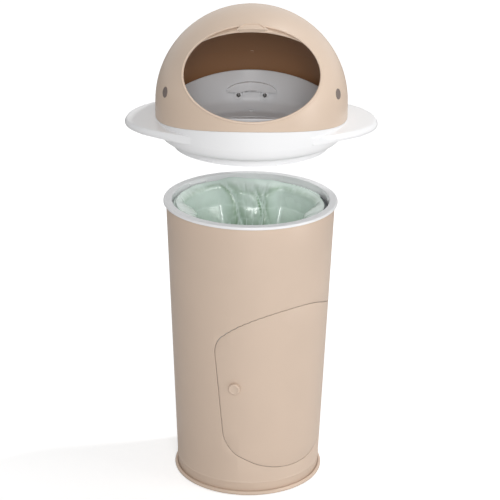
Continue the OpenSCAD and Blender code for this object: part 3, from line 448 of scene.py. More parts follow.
def grain_group():
    """Fine surface relief and the roughness that goes with it."""
    name = "Surface grain"
    if name in bpy.data.node_groups:
        return bpy.data.node_groups[name]
    group, start, end = new_group(
        name,
        [("Scale", "NodeSocketFloat", 400.0),
         ("Stretch", "NodeSocketVector", (1.0, 1.0, 1.0)),
         ("Low roughness", "NodeSocketFloat", 0.3),
         ("High roughness", "NodeSocketFloat", 0.4)],
        [("Height", "NodeSocketFloat"), ("Roughness", "NodeSocketFloat")])
    where = add_node(group, "TexCoord", {}).outputs["Object"]
    stretch = add_node(
        group, "VectorMath", {0: where, 1: start.outputs["Stretch"]}, operation="MULTIPLY")
    fine = noise(group, stretch.outputs["Vector"], start.outputs["Scale"], 2.0)
    level = add_node(group, "MapRange", {
        "From Min": 0.3, "From Max": 0.7, "Value": noise(group, where, 18.0, 2.0),
        "To Min": start.outputs["Low roughness"], "To Max": start.outputs["High roughness"]})
    feed(group, end, {"Height": fine, "Roughness": level.outputs["Result"]})
    return group


def placed(tree, group, **values):
    """A group node in a material, with its own values."""
    node = tree.nodes.new("ShaderNodeGroup")
    node.node_tree = group
    for label, value in values.items():
        node.inputs[label.replace("_", " ")].default_value = value
    return node


def finish_of(name, colour, second, spread=0.5, mottle=14.0, grain=900.0,
              stretch=(1, 1, 1), rough=(0.35, 0.45), bump=0.05, depth=0.0001,
              metallic=0.0, coat=0.0, coat_rough=0.1, ior=1.46, other=None, mask=""):
    """A material of mottled colour, surface grain and varied roughness.

    A mask names a mesh attribute that blends the colour into another one, a painted shade.
    """
    material = bpy.data.materials.new(name)
    material.use_nodes = True
    tree = material.node_tree
    tone = placed(tree, mottle_group(), Colour=(*colour, 1), Second_colour=(*second, 1),
                  Scale=mottle, Spread=spread).outputs["Colour"]
    relief = placed(tree, grain_group(), Scale=grain, Stretch=stretch,
                    Low_roughness=rough[0], High_roughness=rough[1])
    lift = add_node(tree, "Bump", {
        "Strength": bump, "Distance": depth, "Height": relief.outputs["Height"]})
    if other:
        share = add_node(tree, "Attribute", {}, attribute_name=mask)
        blend = add_node(tree, "Mix", {
            "Factor": share.outputs["Fac"], 6: tone, 7: (*other, 1)}, data_type="RGBA")
        tone = blend.outputs[2]
    feed(tree, tree.nodes["Principled BSDF"], {
        "Base Color": tone, "Metallic": metallic, "Roughness": relief.outputs["Roughness"],
        "IOR": ior, "Coat Weight": coat, "Coat Roughness": coat_rough,
        "Normal": lift.outputs["Normal"]})
    return material


def tint(colour, share):
    """The colour made lighter by a positive share or darker by a negative one."""
    if share >= 0:
        return tuple(c + (1 - c) * share for c in colour)
    return tuple(c * (1 + share) for c in colour)


# Finishes: name, colour setting, tints of the two mottled colours, and what differs
FINISHES = {
    "enamel": ("beige enamel", "enamel", 0, -0.05, dict(
        rough=(0.40, 0.48), grain=1400, bump=0.12, coat=0.12, coat_rough=0.3)),
    # The dome's inner faces, marked by the inside mask, take the painted shade colour.
    "dome_plastic": ("beige dome plastic", "dome", 0, -0.04, dict(
        rough=(0.36, 0.43), grain=1800, bump=0.06, coat=0.15, coat_rough=0.22,
        other="dome_inside", mask="inside")),
    "white_plastic": ("white plastic", "white", 0, -0.012, dict(
        rough=(0.31, 0.32), grain=1800, bump=0.04, coat=0.2, coat_rough=0.15, mottle=5)),
    "lining_plastic": ("pale grey lining", "lining", 0, -0.05, dict(
        rough=(0.34, 0.42), grain=1600, bump=0.06)),
    "ring_plastic": ("dark ring plastic", "ring", 0, -0.15, dict(
        rough=(0.38, 0.48), grain=1200, bump=0.08)),
    "plug_rubber": ("grey plug rubber", "plug", 0, -0.15, dict(
        rough=(0.62, 0.75), grain=1000, bump=0.15)),
    "foot_rubber": ("black foot rubber", "rubber", 0, -0.2, dict(
        rough=(0.7, 0.85), grain=900, bump=0.2)),
    "seal_rubber": ("pale seal rubber", "white", -0.03, -0.08, dict(
        rough=(0.55, 0.68), grain=900, bump=0.15)),
    "bush_plastic": ("dark bush plastic", "rubber", 0.06, 0, dict(
        rough=(0.45, 0.55), grain=1200, bump=0.08)),
    "sheet_steel": ("bare sheet steel", "steel", 0, -0.12, dict(
        rough=(0.28, 0.42), grain=500, bump=0.1, mottle=30, stretch=(1, 1, 0.06),
        metallic=1.0)),
    "plated_steel": ("plated steel", "steel", 0.1, -0.08, dict(
        rough=(0.22, 0.34), grain=1500, bump=0.06, mottle=60, metallic=1.0)),
    "dark_steel": ("dark screw steel", "steel", -0.6, -0.7, dict(
        rough=(0.25, 0.36), grain=1500, bump=0.06, mottle=80, metallic=1.0)),
    # The film's painted shade blends in through its mask.
    "film": ("pale green film", "film", 0, -0.12, dict(
        rough=(0.16, 0.28), grain=160, bump=0.35, depth=0.001, coat=0.6, coat_rough=0.1,
        ior=1.5, mottle=30, spread=0.8, other="film_deep", mask="deep")),
}


def finish(kind):
    """The material of a kind of finish, in the colours that are set."""
    name, setting, first, second, values = FINISHES[kind]
    if name in bpy.data.materials:
        return bpy.data.materials[name]
    colours = bpy.context.scene.pail_colours
    base = getattr(colours, setting)
    if "other" in values:
        values = dict(values, other=getattr(colours, values["other"]))
    return finish_of(name, tint(base, first), tint(base, second), **values)


# Corners of the door's outline: arc length from the front at REF_R, height and rounding in
# mm, and segments of the rounding
REF_R = 117.0
DOOR = [
    (-53.5, 249.0, 34.0, 8),
    (29.0, 328.0, 159.0, 16),
    (228.7, 259.4, 45.0, 10),
    (228.7, 88.9, 45.0, 10),
    (72.0, 23.3, 165.0, 16),
    (-38.3, 76.0, 48.7, 10),
]


def door_cutter(grow, name):
    """A radial block inside the door's rounded outline, grown by some mm."""
    bm = bmesh.new()
    flat = [Vector(p[:2]) for p in DOOR]
    count = len(flat)
    verts = []
    for i, (_, _, radius, segments) in enumerate(DOOR):
        before = (flat[i - 1] - flat[i]).normalized()
        after = (flat[(i + 1) % count] - flat[i]).normalized()
        half = math.acos(before.dot(after)) / 2
        outwards = -(before + after).normalized()
        corner = flat[i] + outwards * grow / math.sin(half)
        verts.append((bm.verts.new((corner.x, 0, corner.y)), (radius + grow) / math.tan(half),
                      segments))
    bm.faces.new([v for v, _, _ in verts])
    for v, reach, segments in verts:
        bmesh.ops.bevel(
            bm, geom=[v], offset=reach, offset_type="OFFSET", segments=segments,
            profile=0.5, affect="VERTICES", material=-1)
    bmesh.ops.subdivide_edges(
        bm, edges=[e for e in bm.edges if e.calc_length() > 12], cuts=6, use_grid_fill=False)
    face = max(bm.faces, key=lambda f: f.calc_area())
    bmesh.ops.poke(bm, faces=[face])
    made = bmesh.ops.extrude_face_region(bm, geom=list(bm.faces))
    outer = {v for v in made["geom"] if isinstance(v, bmesh.types.BMVert)}
    for v in bm.verts:
        radius = 170.0 if v in outer else 80.0
        bearing = v.co.x / REF_R
        height = v.co.z
        v.co = (radius * math.sin(bearing) * MM, -radius * math.cos(bearing) * MM, height * MM)
    tidy(bm)
    return as_object(bm, name)


def wall_shell(bead):
    """The steel wall above the foot's seam, with the embossed line if asked."""
    z0, z1 = 2.0, WALL_TOP
    outline = [(wall_r(z0) - SHEET, z0), (wall_r(z0), z0)]
    if bead:
        z, half, rise = 20.0, 2.0, 0.5
        for t in range(0, 181, 30):
            at = z - half * math.cos(math.radians(t))
            outline.append((wall_r(at) + rise * math.sin(math.radians(t)), at))
    rows = 10
    for k in range(1, rows):
        at = z0 + 22 + (z1 - z0 - 22) * k / rows
        outline.append((wall_r(at), at))
    outline += [(wall_r(z1), z1), (wall_r(z1) - SHEET, z1)]
    return turned(outline)


class PAIL_OT_wall(bpy.types.Operator):
    """Makes the steel can's wall with the door's opening"""
    bl_idname = "pail.wall"
    bl_label = "Steel wall"

    def execute(self, context):
        obj = as_object(wall_shell(bead=True), "steel_wall")
        carve(obj, door_cutter(0.0, "opening"))
        round_edges(obj, context.scene.pail_shape.edge / MM)
        shade(obj)
        place(obj, "pail", "enamel", "body_shell")
        return {"FINISHED"}


class PAIL_OT_door(bpy.types.Operator):
    """Makes the curved door panel"""
    bl_idname = "pail.door"
    bl_label = "Door panel"

    def execute(self, context):
        shape = context.scene.pail_shape
        obj = as_object(wall_shell(bead=False), "door_skin")
        carve(obj, door_cutter(-shape.door_gap / MM, "door_cut"), "INTERSECT")
        round_edges(obj, shape.edge / MM)
        shade(obj)
        place(obj, "door", "enamel", "door_panel")
        return {"FINISHED"}


class PAIL_OT_knob(bpy.types.Operator):
    """Makes the knob that turns the latch"""
    bl_idname = "pail.knob"
    bl_label = "Door knob"

    def execute(self, context):
        low = 1.1
        bm = turned([
            (0, low), (8.6, low, 0.3), (8.6, 5.6, 1.6), (6.6, 6.0, 0.4), (5.8, 5.4, 0.4),
            (0, 5.1)], 96, closed=False)
        bridge = turned([(0, -11.0), (3.0, -11.0), (3.0, 1.3), (0, 1.3)], 48, closed=False)
        join(bm, bridge)
        turn = KNOB_OUT.to_track_quat("Z", "Y").to_matrix()
        bmesh.ops.transform(bm, verts=bm.verts, matrix=turn.to_4x4())
        shift(bm, *KNOB)
        piece(bm, "knob_button", "knob", "knob_plastic", "door_knob", "enamel")
        return {"FINISHED"}


class PAIL_OT_foot(bpy.types.Operator):
    """Makes the rolled bead at the foot"""
    bl_idname = "pail.foot"
    bl_label = "Rolled foot"

    def execute(self, context):
        bead, height, low = 113.4, 6.0, 0.6
        half = height / 2
        outline = [(99.6, low), (bead - half, low)]
        for t in range(-75, 91, 15):
            out, up = polar(half, t)
            outline.append((bead - half + out, low + half + up))
        outline += [(wall_r(6) + 0.5, low + height - 0.5, 0.3), (wall_r(6) + 0.2, 2.2),
                    (wall_r(6) - 1.8, 2.2), (wall_r(6) - 1.9, low + height), (99.6, low + height)]
        piece(turned(outline), "foot_bead", "pail", "enamel", "base_rim")
        return {"FINISHED"}


class PAIL_OT_foot_ring(bpy.types.Operator):
    """Makes the rubber ring that the pail stands on"""
    bl_idname = "pail.foot_ring"
    bl_label = "Rubber foot"

    def execute(self, context):
        outline = [(100.3, 3.0, 0.3), (100.3, 0.0, 0.5)]
        for groove in (101.9, 103.3):
            outline += [(groove - 0.3, 0.0), (groove, 0.5), (groove + 0.3, 0.0)]
        outline += [(104.9, 0.0, 0.5), (104.9, 3.0, 0.3)]
        piece(turned(outline), "rubber_foot", "pail", "foot_rubber", "foot_ring")
        return {"FINISHED"}


class PAIL_OT_collar(bpy.types.Operator):
    """Makes the white collar with its brim and bayonet ledges"""
    bl_idname = "pail.collar"
    bl_label = "Collar"

    def execute(self, context):
        top, low = BRIM_TOP, WALL_TOP
        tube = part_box("collar")[0].z / MM + 2.0
        bm = turned([
            (MOUTH_R, tube), (MOUTH_R, top, 1.4), (129.0, top, 2.0), (129.0, low, 1.2),
            (MOUTH_R + 7.0, low), (MOUTH_R + 7.0, low - 8), (MOUTH_R + 5.0, low - 8),
            (MOUTH_R + 5.0, low - 1), (MOUTH_R + 2.0, low - 1), (MOUTH_R + 2.0, tube - 2.0),
            (MOUTH_R - 9.0, tube - 2.0), (MOUTH_R - 9.0, tube, 0.5)])
        low_z, high_z = top - 5.2, top - 1.6
        for k in range(6):
            ledge = turned([
                (MOUTH_R - 1.6, low_z, 0.3), (MOUTH_R + 0.4, low_z), (MOUTH_R + 0.4, high_z),
                (MOUTH_R - 0.1, high_z, 0.3)], 12, 18, 5 + 60 * k)
            join(bm, ledge)
            join(bm, turned([
                (MOUTH_R - 1.4, low_z - 2, 0.3), (MOUTH_R + 0.4, low_z - 2),
                (MOUTH_R + 0.4, low_z + 0.4), (MOUTH_R - 1.4, low_z + 0.4)],
                2, 1.3, 5.3 + 60 * k))
        piece(bm, "white_collar", "pail", "white_plastic", "collar")
        return {"FINISHED"}


def facets(seed, around, rows):
    """Random cells of a sheet that is crumpled into facets, closed in its first direction."""
    pick = random.Random(seed)
    return {(i, j): (pick.uniform(0.1, 0.9), pick.uniform(0.1, 0.9), pick.uniform(0, 0.45),
                     pick.uniform(-0.9, 0.9), pick.uniform(-0.7, 0.7), pick.random())
            for i in range(around) for j in range(-2, rows)}


def crumpled(cells, around, u, v):
    """Height and tone of the sheet at u cells round and v down: facets that meet in folds. The
    tone picks the facets that get painted shade.
    """
    best, tone = -9.0, 0.0
    column, row = math.floor(u), math.floor(v)
    for i in range(column - 1, column + 2):
        for j in range(row - 1, row + 2):
            cell = cells.get((i % around, j))
            if cell:
                du, dv = u - i - cell[0], v - j - cell[1]
                height = cell[2] + cell[3] * du + cell[4] * dv - 0.5 * (du * du + dv * dv)
                if height > best:
                    best, tone = height, cell[5]
    return min(max(best + 0.1, 0.0), 1.0), tone


def between(table, at):
    """Value of a table of (place, value) pairs, eased from one to the next."""
    for (a, low), (b, high) in zip(table, table[1:]):
        if a <= at <= b:
            return low + (high - low) * smooth((at - a) / (b - a))
    return table[-1][1]


# Height of the film's puffs over the ring, and how far it is drawn off the ring, by bearing
# from the front in degrees
PUFF = ((-180, 3.6), (-163, 6.4), (-148, 4.0), (-120, 5.4), (-90, 5.0), (-60, 4.0),
        (-30, 2.0), (0, 1.0), (60, 0.5), (90, 0.0), (130, 0.5), (150, 1.0), (166, 2.6),
        (180, 3.6))
DRAWN = ((-180, 0), (46, 0), (64, 0.45), (78, 1), (104, 1), (116, 0.5), (128, 0), (180, 0))
# How far the folds may come inwards by bearing from the front, so that the open flap clears them
FOLD_ROOM = ((0, 30), (85, 30), (103, 6), (150, 6), (165, 30), (180, 30))
# The film inside the can: length down its side, then height and radius of its bottom
FILM_RUN, FILM_BOTTOM, FILM_LOW_R = 400.0, 25.5, 84.0


def film_runs():
    """Places down the film, from its hem over the ring to the middle of its bottom."""
    runs = [-20 + 2.0 * k for k in range(6)] + [-8 + k for k in range(8)]
    runs += [2.2 * k for k in range(64)]
    runs += [140.8 + (FILM_RUN - 140.8) * k / 26 for k in range(27)]
    return runs + [FILM_RUN + FILM_LOW_R * k / 14 for k in range(1, 15)]


def film_on_ring(run, crest, drawn):
    """Radius and height of the film outside and on top of its ring."""
    if run < -8:
        t = (run + 20) / 12
        radius, z = 114.2, RING_TOP - 11.7 + 12.1 * t
    else:
        t = (run + 8) / 8
        radius = 114.2 - 5.0 * t
        z = RING_TOP + 0.4 + (crest - RING_TOP - 0.4) * smooth((t - 0.35) / 0.5)
    radius += (108.7 - radius) * max(0.0, 2 * drawn - 1)
    bare = RING_TOP + 0.5
    if z < bare:
        z += (bare - z) * min(2 * drawn, 1.0)
    return radius, z


def film_in_can(run, crest, bearing, folds, size):
    """Radius and height of the film inside its ring, and over the bottom."""
    big, mid, small = folds
    inwards = (smooth(run / 17) * (6.0 * big + 8.0 * mid)
               + smooth(run / 8) * (1.2 * mid + 1.5 * small)) * size
    room = between(FOLD_ROOM, abs(bearing)) + 0.3 * max(run - 35, 0)
    inwards = room * math.tanh(inwards / room)
    sag = smooth(min(run, FILM_RUN) / 110) * 4
    radius = 109.2 - 2.3 * smooth(run / 11)
    radius -= (radius - FILM_LOW_R) * min(run / FILM_RUN, 1.0) + inwards + sag
    z = crest - (crest - FILM_BOTTOM) * min(run / FILM_RUN, 1.0)
    if run > FILM_RUN:
        t = (run - FILM_RUN) / FILM_LOW_R
        radius = (radius - 4) * (1 - t)
        z = FILM_BOTTOM + (1.2 * big + 0.6 * mid) * size * min(4 * t, 1.0)
    return radius, z


def tone_film(bm, layer, tones):
    """Stores the film's painted shade: darker deep in the bag, on darker panels and patches, and
    in its creases, partly also real darkening where layers overlap.
    """
    shade_of = bm.verts.layers.float.new("deep")
    for v in bm.verts:
        run = v[layer]
        fold = sum(e.calc_face_angle_signed(0) for e in v.link_edges if len(e.link_faces) == 2)
        panel, patch, fleck = tones.get(v, (0, 0, 0))
        # Painted shade: darker deeper down, on dark panels and patches, and in creases by their
        # fold angle.
        low = smooth((run - 16) / 34) * (0.35 + 0.65 * smooth(4 * panel - 1.4))
        folds = smooth(run / 6) * (0.5 * smooth(5 * patch - 2.4) + 0.12 * fleck)
        v[shade_of] = min(max(0.8 * low + folds + 0.5 * fold * (run > 3), 0.0), 1.0)


class PAIL_OT_bag(bpy.types.Operator):
    """Makes the crumpled bag that hangs from its ring"""
    bl_idname = "pail.bag"
    bl_label = "Bag"

    def execute(self, context):
        film = context.scene.pail_film
        size = film.crumple / MM
        runs = film_runs()
        bm = bmesh.new()
        layer = bm.verts.layers.float.new("run")
        verts, edges = section(bm, [(110, -run) for run in runs], closed=False)
        for v, run in zip(verts, runs):
            v[layer] = run
        bmesh.ops.spin(
            bm, geom=verts + edges, cent=(0, 0, 0), axis=(0, 0, 1), dvec=(0, 0, 0),
            angle=math.tau, steps=300, use_merge=True)
        wide = facets(film.seed, 13, 8)
        close = facets(film.seed + 1, 29, 14)
        fine = facets(film.seed + 2, 70, 44)
        tones = {}
        for v in bm.verts:
            run = v[layer]
            turn = math.atan2(v.co.x, -v.co.y)
            bearing = math.degrees(turn)
            share = (bearing + 180) / 360
            lean = share + 0.012 * math.sin(run / 23)
            big, panel = crumpled(wide, 13, lean * 13, run / 88)
            mid, patch = crumpled(close, 29, lean * 29 + run / 60, run / 40)
            small, fleck = crumpled(fine, 70, share * 70, run / 12)
            tones[v] = (panel, patch, fleck)
            puff = between(PUFF, bearing) * (0.7 + 0.5 * mid)
            crest = RING_TOP + 0.7 + min(puff, 6.6)
            if run < 0:
                radius, z = film_on_ring(run, crest, between(DRAWN, bearing))
            else:
                radius, z = film_in_can(run, crest, bearing, (big, mid, small), size)
            v.co = Vector((radius * math.sin(turn), -radius * math.cos(turn), z)) * MM
        tidy(bm)
        tone_film(bm, layer, tones)
        obj = as_object(bm, "film_bag")
        thick = obj.modifiers.new("Film", "SOLIDIFY")
        thick.thickness = 0.25 * MM
        thick.offset = 0
        settle(obj)
        shade(obj, 24)
        place(obj, "liner", "film", "bag")
        return {"FINISHED"}


class PAIL_OT_bag_ring(bpy.types.Operator):
    """Makes the ring that the bag folds over"""
    bl_idname = "pail.bag_ring"
    bl_label = "Bag ring"

    def execute(self, context):
        low, high = (c.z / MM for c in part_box("bag_ring"))
        bm = turned([
            (107.4, low, 0.4), (113.4, low, 0.4), (113.4, high, 0.9), (109.4, high, 0.9),
            (109.4, low + 2, 0.8), (107.4, low + 2, 0.4)])
        piece(bm, "dark_ring", "liner", "ring_plastic", "bag_ring")
        return {"FINISHED"}


def bowl_radius(t):
    """Radius and height of the bowl's outer curve, in mm above the lock ring's edge."""
    full = 2 / 2.3
    return 118 + 21.5 * math.sin(t) ** full, 10.4 + 29 * (1 - math.cos(t) ** full)


def joint_height(y):
    """Height of the dome's lower edge above the lock ring's edge, at a depth y."""
    return 42.2 + 612 - math.sqrt(612 ** 2 - y ** 2)


# Where a wing leaves the bowl: bearings from the side, in degrees, and heights above the lock
# ring's edge
WING_ROOT = (-53.0, 38.0)
ROOT_LOW, ROOT_HIGH = 30.0, 41.9
# Plan of a wing's edge: centre and radius of its front and of its round end, then its rear
WING_FRONT = (-57.7, 155.1, 301.5)
WING_ROUND = (100, 6, 83)
WING_REAR = [(158.5, 65.5), (150.5, 71.5), (141, 74.4), (131, 75), (120, 73.5)]
# Shares of the way from the bowl to the wing's edge
WING_STEPS = (0.13, 0.26, 0.39, 0.5, 0.62, 0.74, 0.86, 0.955, 1.0)


def wing_outline():
    """Plan of a wing's edge from its front root to its rear root, in mm."""
    points = arc(*WING_FRONT, (-61.3, *range(-60, -43, 2)))
    points += arc(*WING_ROUND, range(-40, 41, 8))
    return [Vector(p) for p in points + WING_REAR]


def wing_edge(points, share):
    """Point at a share of the way along a wing's outline."""
    steps = [(b - a).length for a, b in zip(points, points[1:])]
    left = share * sum(steps)
    for step, a, b in zip(steps, points, points[1:]):
        if left <= step:
            return a.lerp(b, left / step)
        left -= step
    return points[-1]


def grow_wing(bm, side, droop, edge_high):
    """Pulls a wing out of the bowl's wall, step by step, to its outline."""
    plan = wing_outline()
    middle = Vector((side * WING_ROUND[0], WING_ROUND[1], 0))
    root = []
    for f in bm.faces:
        c = f.calc_center_median() / MM
        bearing = math.degrees(math.atan2(c.y, c.x * side))
        if math.hypot(c.x, c.y) > 137.9 and ROOT_LOW < c.z < ROOT_HIGH \
                and WING_ROOT[0] < bearing < WING_ROOT[1]:
            root.append(f)
    tracks = {v: v.co.copy() for f in root for v in f.verts}
    ends = [math.atan2(co.y, co.x * side) for co in tracks.values()]
    first, last = min(ends), max(ends)
    shell = root
    for t in WING_STEPS:
        made = bmesh.ops.extrude_face_region(bm, geom=shell)
        fresh = [g for g in made["geom"] if isinstance(g, bmesh.types.BMVert)]
        bmesh.ops.delete(bm, geom=shell, context="FACES_ONLY")
        shell = [g for g in made["geom"] if isinstance(g, bmesh.types.BMFace)]
        moved = {}
        for v in fresh:
            base = tracks[min(tracks, key=lambda o: (o.co - v.co).length_squared)]
            bearing = math.atan2(base.y, base.x * side)
            x, y = wing_edge(plan, (bearing - first) / (last - first))
            flat = Vector((base.x / MM, base.y / MM, 0)).lerp(Vector((side * x, y, 0)), t)
            gone = flat.length - 139.3
            upper = ROOT_HIGH - droop * max(gone, 0) / 44
            thick = edge_high + (ROOT_HIGH - ROOT_LOW - edge_high) * max(1 - gone / 16, 0)
            free = smooth(gone / 12)
            if t == WING_STEPS[-2]:
                upper, thick = upper - 0.7 * free, thick - 1.1 * free
            elif t == WING_STEPS[-1]:
                upper, thick = upper - 3.6 * free, thick - 5.2 * free
            share = (base.z / MM - ROOT_LOW) / (ROOT_HIGH - ROOT_LOW)
            z = upper - thick * (1 - share)
            round_off = 1.6 * (1 - abs(2 * share - 1)) if t == WING_STEPS[-1] else 0
            flat = flat + (flat - middle).normalized() * ((round_off + 0.9 * t) * free)
            moved[v] = (Vector((flat.x * MM, flat.y * MM, z * MM)), base)
        for v, (co, base) in moved.items():
            v.co = co
        tracks = {v: base for v, (co, base) in moved.items()}


class PAIL_OT_lid_base(bpy.types.Operator):
    """Makes the white bowl and its two wings in one moulding"""
    bl_idname = "pail.lid_base"
    bl_label = "Bowl and wings"

    def execute(self, context):
        shape = context.scene.pail_shape
        top, inner = 60.0, 137.3
        outline = [(104.0, 10.4)]
        for degrees in range(0, 91, 10):
            r, z = bowl_radius(math.radians(degrees))
            if z < ROOT_LOW - 1.5:
                outline.append((r, z))
        outline += [(bowl_radius(math.acos((1 - (ROOT_LOW - 10.4) / 29) ** 1.15))[0], ROOT_LOW),
                    (139.1, 34.0), (139.4, 38.0), (DOME_R, ROOT_HIGH), (DOME_R, 50.0),
                    (DOME_R, top - 0.6), (DOME_R, top), (inner, top), (inner, top - 0.6),
                    (inner, 40.0), (135.2, 30.0), (128.0, 18.0), (118.0, 12.6), (104.0, 12.6)]
        bm = turned(outline, 96)
        for v in bm.verts:
            z = v.co.z / MM
            if z > ROOT_HIGH + 0.01:
                edge = joint_height(v.co.y / MM) - 0.15
                share = (z - ROOT_HIGH) / (top - ROOT_HIGH)
                v.co.z = (ROOT_HIGH + max(edge - ROOT_HIGH, 0.12) * share) * MM
        for side in (-1, 1):
            grow_wing(bm, side, shape.wing_droop / MM, shape.wing_edge / MM)
        tidy(bm)
        hold = bm.edges.layers.float.new("crease_edge")
        for e in bm.edges:
            r0, r1 = (math.hypot(v.co.x, v.co.y) / MM for v in e.verts)
            z0, z1 = (v.co.z / MM for v in e.verts)
            low = max(z0, z1) < 12.7 and (max(r0, r1) < 105)
            rim = e.calc_face_angle(0) > math.radians(60) and max(r0, r1) < 139.6 \
                and min(z0, z1) > 41
            if low or rim:
                e[hold] = 0.9
        shift(bm, z=LID_Z)
        obj = as_object(bm, "bowl_and_wings")
        sub = obj.modifiers.new("Smooth form", "SUBSURF")
        sub.levels = sub.render_levels = 2
        settle(obj)
        shade(obj, 50)
        place(obj, "lid", "white_plastic", "lid_base")
        return {"FINISHED"}


# Mouth of the dome: half width, half height, rise along the slope and tilt
MOUTH = (96.2, 67.7, 31.6, 18.3)


def mouth_point(turn, grow, radius):
    """Point of the mouth's edge on a sphere about the dome's centre, in mm."""
    half_w, half_h, rise, tilt = MOUTH
    tilt = math.radians(tilt)
    x = (half_w + grow) * math.cos(turn)
    u = rise + (half_h + grow) * math.sin(turn)
    reach = math.sqrt(radius ** 2 - x * x - u * u)
    up = Vector((0, math.sin(tilt), math.cos(tilt)))
    out = Vector((0, -math.cos(tilt), math.sin(tilt)))
    return Vector((x, 0, 0)) + up * u + out * reach


def mouth_cutter():
    """Elliptical block along the mouth's tilted axis."""
    half_w, half_h, rise, tilt = MOUTH
    bm = bmesh.new()
    bmesh.ops.create_circle(bm, cap_ends=True, segments=160, radius=1)
    bmesh.ops.scale(bm, verts=bm.verts, vec=(half_w * MM, half_h * MM, 1))
    pulled(bm, (0, 0, 0.2))
    shift(bm, y=rise)
    rolled(bm, 90 - tilt, "X")
    shift(bm, *DOME)
    tidy(bm)
    return as_object(bm, "mouth_cut")


def ball(radius, low, high, step, bumps=()):
    """Points of an arc about the origin from one elevation to another, in degrees."""
    count = max(int(round(abs(high - low) / step)), 1)
    spots = {low + (high - low) * k / count: 0.0 for k in range(count + 1)}
    for elevation, rise in bumps:
        spots[elevation] = rise
    order = sorted(spots, reverse=high < low)
    return [polar(radius + spots[e], e) for e in order]


def mark_inside(obj, centre):
    """Stores which faces look towards a centre, for the painted shade inside the dome and the
    visor.
    """
    mesh = obj.data
    centre = centre * MM
    mask = mesh.attributes.new("inside", "FLOAT", "FACE")
    values = [1.0 if (f.center - centre).length < (DOME_R - DOME_T + 0.15) * MM
              and f.normal.dot(f.center - centre) < -0.3 * (f.center - centre).length else 0.0
              for f in mesh.polygons]
    mask.data.foreach_set("value", values)


def plug_line(side):
    """Direction from the dome's centre to a stop plug."""
    lean, elevation = math.radians(28.5), math.radians(24.7)
    return Vector((side * math.cos(lean), -math.sin(lean) * math.cos(elevation),
                   math.sin(lean) * math.sin(elevation)))


def aimed(bm, direction, distance, centre):
    """Turns a piece made along +Z to a direction and moves it out from a centre, in mm."""
    turn = direction.to_track_quat("Z", "Y").to_matrix()
    shift(bm, z=distance)
    bmesh.ops.transform(bm, verts=bm.verts, matrix=turn.to_4x4())
    shift(bm, *centre)


def rolled_lip():
    """The thin round lip that follows the mouth's edge."""
    lip = bpy.data.curves.new("lip", "CURVE")
    lip.dimensions = "3D"
    lip.bevel_depth = 1.9 * MM
    lip.bevel_resolution = 5
    path = lip.splines.new("POLY")
    count = 200
    path.points.add(count - 1)
    path.use_cyclic_u = True
    for k in range(count):
        spot = mouth_point(math.tau * k / count, 1.1, DOME_R - 0.8) + DOME
        path.points[k].co = (*(spot * MM), 1)
    holder = bpy.data.objects.new("lip", lip)
    bpy.context.scene.collection.objects.link(holder)
    bpy.context.view_layer.update()
    graph = bpy.context.evaluated_depsgraph_get()
    mesh = bpy.data.meshes.new_from_object(holder.evaluated_get(graph))
    bm = bmesh.new()
    bm.from_mesh(mesh)
    bpy.data.objects.remove(holder)
    bpy.data.curves.remove(lip)
    bpy.data.meshes.remove(mesh)
    return bm


class PAIL_OT_dome(bpy.types.Operator):
    """Makes the dome with its mouth and rolled lip"""
    bl_idname = "pail.dome"
    bl_label = "Dome"

    def execute(self, context):
        inner = DOME_R - DOME_T
        low = -14.0
        ridge = ((17.0, 0.0), (16.7, 0.12), (16.0, 0.12), (15.7, 0.0))
        outline = ball(inner, 90, 0, 3, ridge)
        outline += [(inner, low / 2), (inner, low, 0.6), (DOME_R, low, 0.7), (DOME_R, low / 2)]
        outline += ball(DOME_R, 0, 90, 3)
        outline[0] = (0, inner)
        outline[-1] = (0, DOME_R)
        bm = turned(outline, closed=False)
        for v in bm.verts:
            z = v.co.z / MM
            if z < -0.001:
                v.co.z = z / low * (joint_height(v.co.y / MM) - LID_TO_DOME) * MM
        for turn in (-11, 52, 128, 191):
            leg = turned([(0, -33.8), (3.2, -33.8, 0.3), (3.2, -3.0, 0.3), (0, -3.0)], 24,
                         closed=False)
            shift(leg, *polar(134.3, turn))
            join(bm, leg)
        join(bm, block((5, 3, 2.6), (0, 131.6, 39.0), 0.5))
        shift(bm, *DOME)
        obj = as_object(bm, "dome_hood")
        carve(obj, mouth_cutter())
        for side in (-1, 1):
            hole = turned([(0, -6), (7.9, -6), (7.9, 4), (0, 4)], 48, closed=False)
            aimed(hole, plug_line(side), DOME_R, DOME)
            carve(obj, as_object(hole, "plug_hole"))
        attach(obj, rolled_lip())
        shade(obj, 30)
        place(obj, "lid", "dome_plastic", "dome_shell")
        mark_inside(obj, DOME)
        return {"FINISHED"}


# Turns a piece made about +Z into one about the visor's axis, with angle 0 at the front
VISOR_TURN = Matrix(((0, 0, -1), (-1, 0, 0), (0, 1, 0)))
# Elevation of the open visor's front edge, and how far its shell reaches round, in degrees
VISOR_OPEN, VISOR_SPAN = 60.7, 67.5


def visor_band(theta_low, theta_high, start, sweep, outer=136.5, inner=134.5):
    """Part of the visor's shell between two polar angles, as an object."""
    steps = max(int(abs(theta_high - theta_low) / 3), 2)
    outline = []
    for radius, order in ((outer, range(steps + 1)), (inner, range(steps, -1, -1))):
        for k in order:
            theta = math.radians(theta_low + (theta_high - theta_low) * k / steps)
            rounding = 0.5 if k in (0, steps) else 0
            outline.append((radius * math.sin(theta), radius * math.cos(theta), rounding))
    bm = turned(outline, max(int(sweep / 2), 3), sweep, start)
    bmesh.ops.transform(bm, verts=bm.verts, matrix=VISOR_TURN.to_4x4())
    shift(bm, *DOME)
    return as_object(bm, "visor_part")


def on_dome(bm, elevation):
    """Wraps a flat piece (x across, y up, z out from the dome's centre) over the dome."""
    for v in bm.verts:
        x, up, out = v.co / MM
        turn = math.radians(elevation) + up / 140.0
        reach = math.sqrt(out ** 2 - x ** 2)
        v.co = Vector((x, -reach * math.cos(turn), reach * math.sin(turn))) * MM
    shift(bm, *DOME)


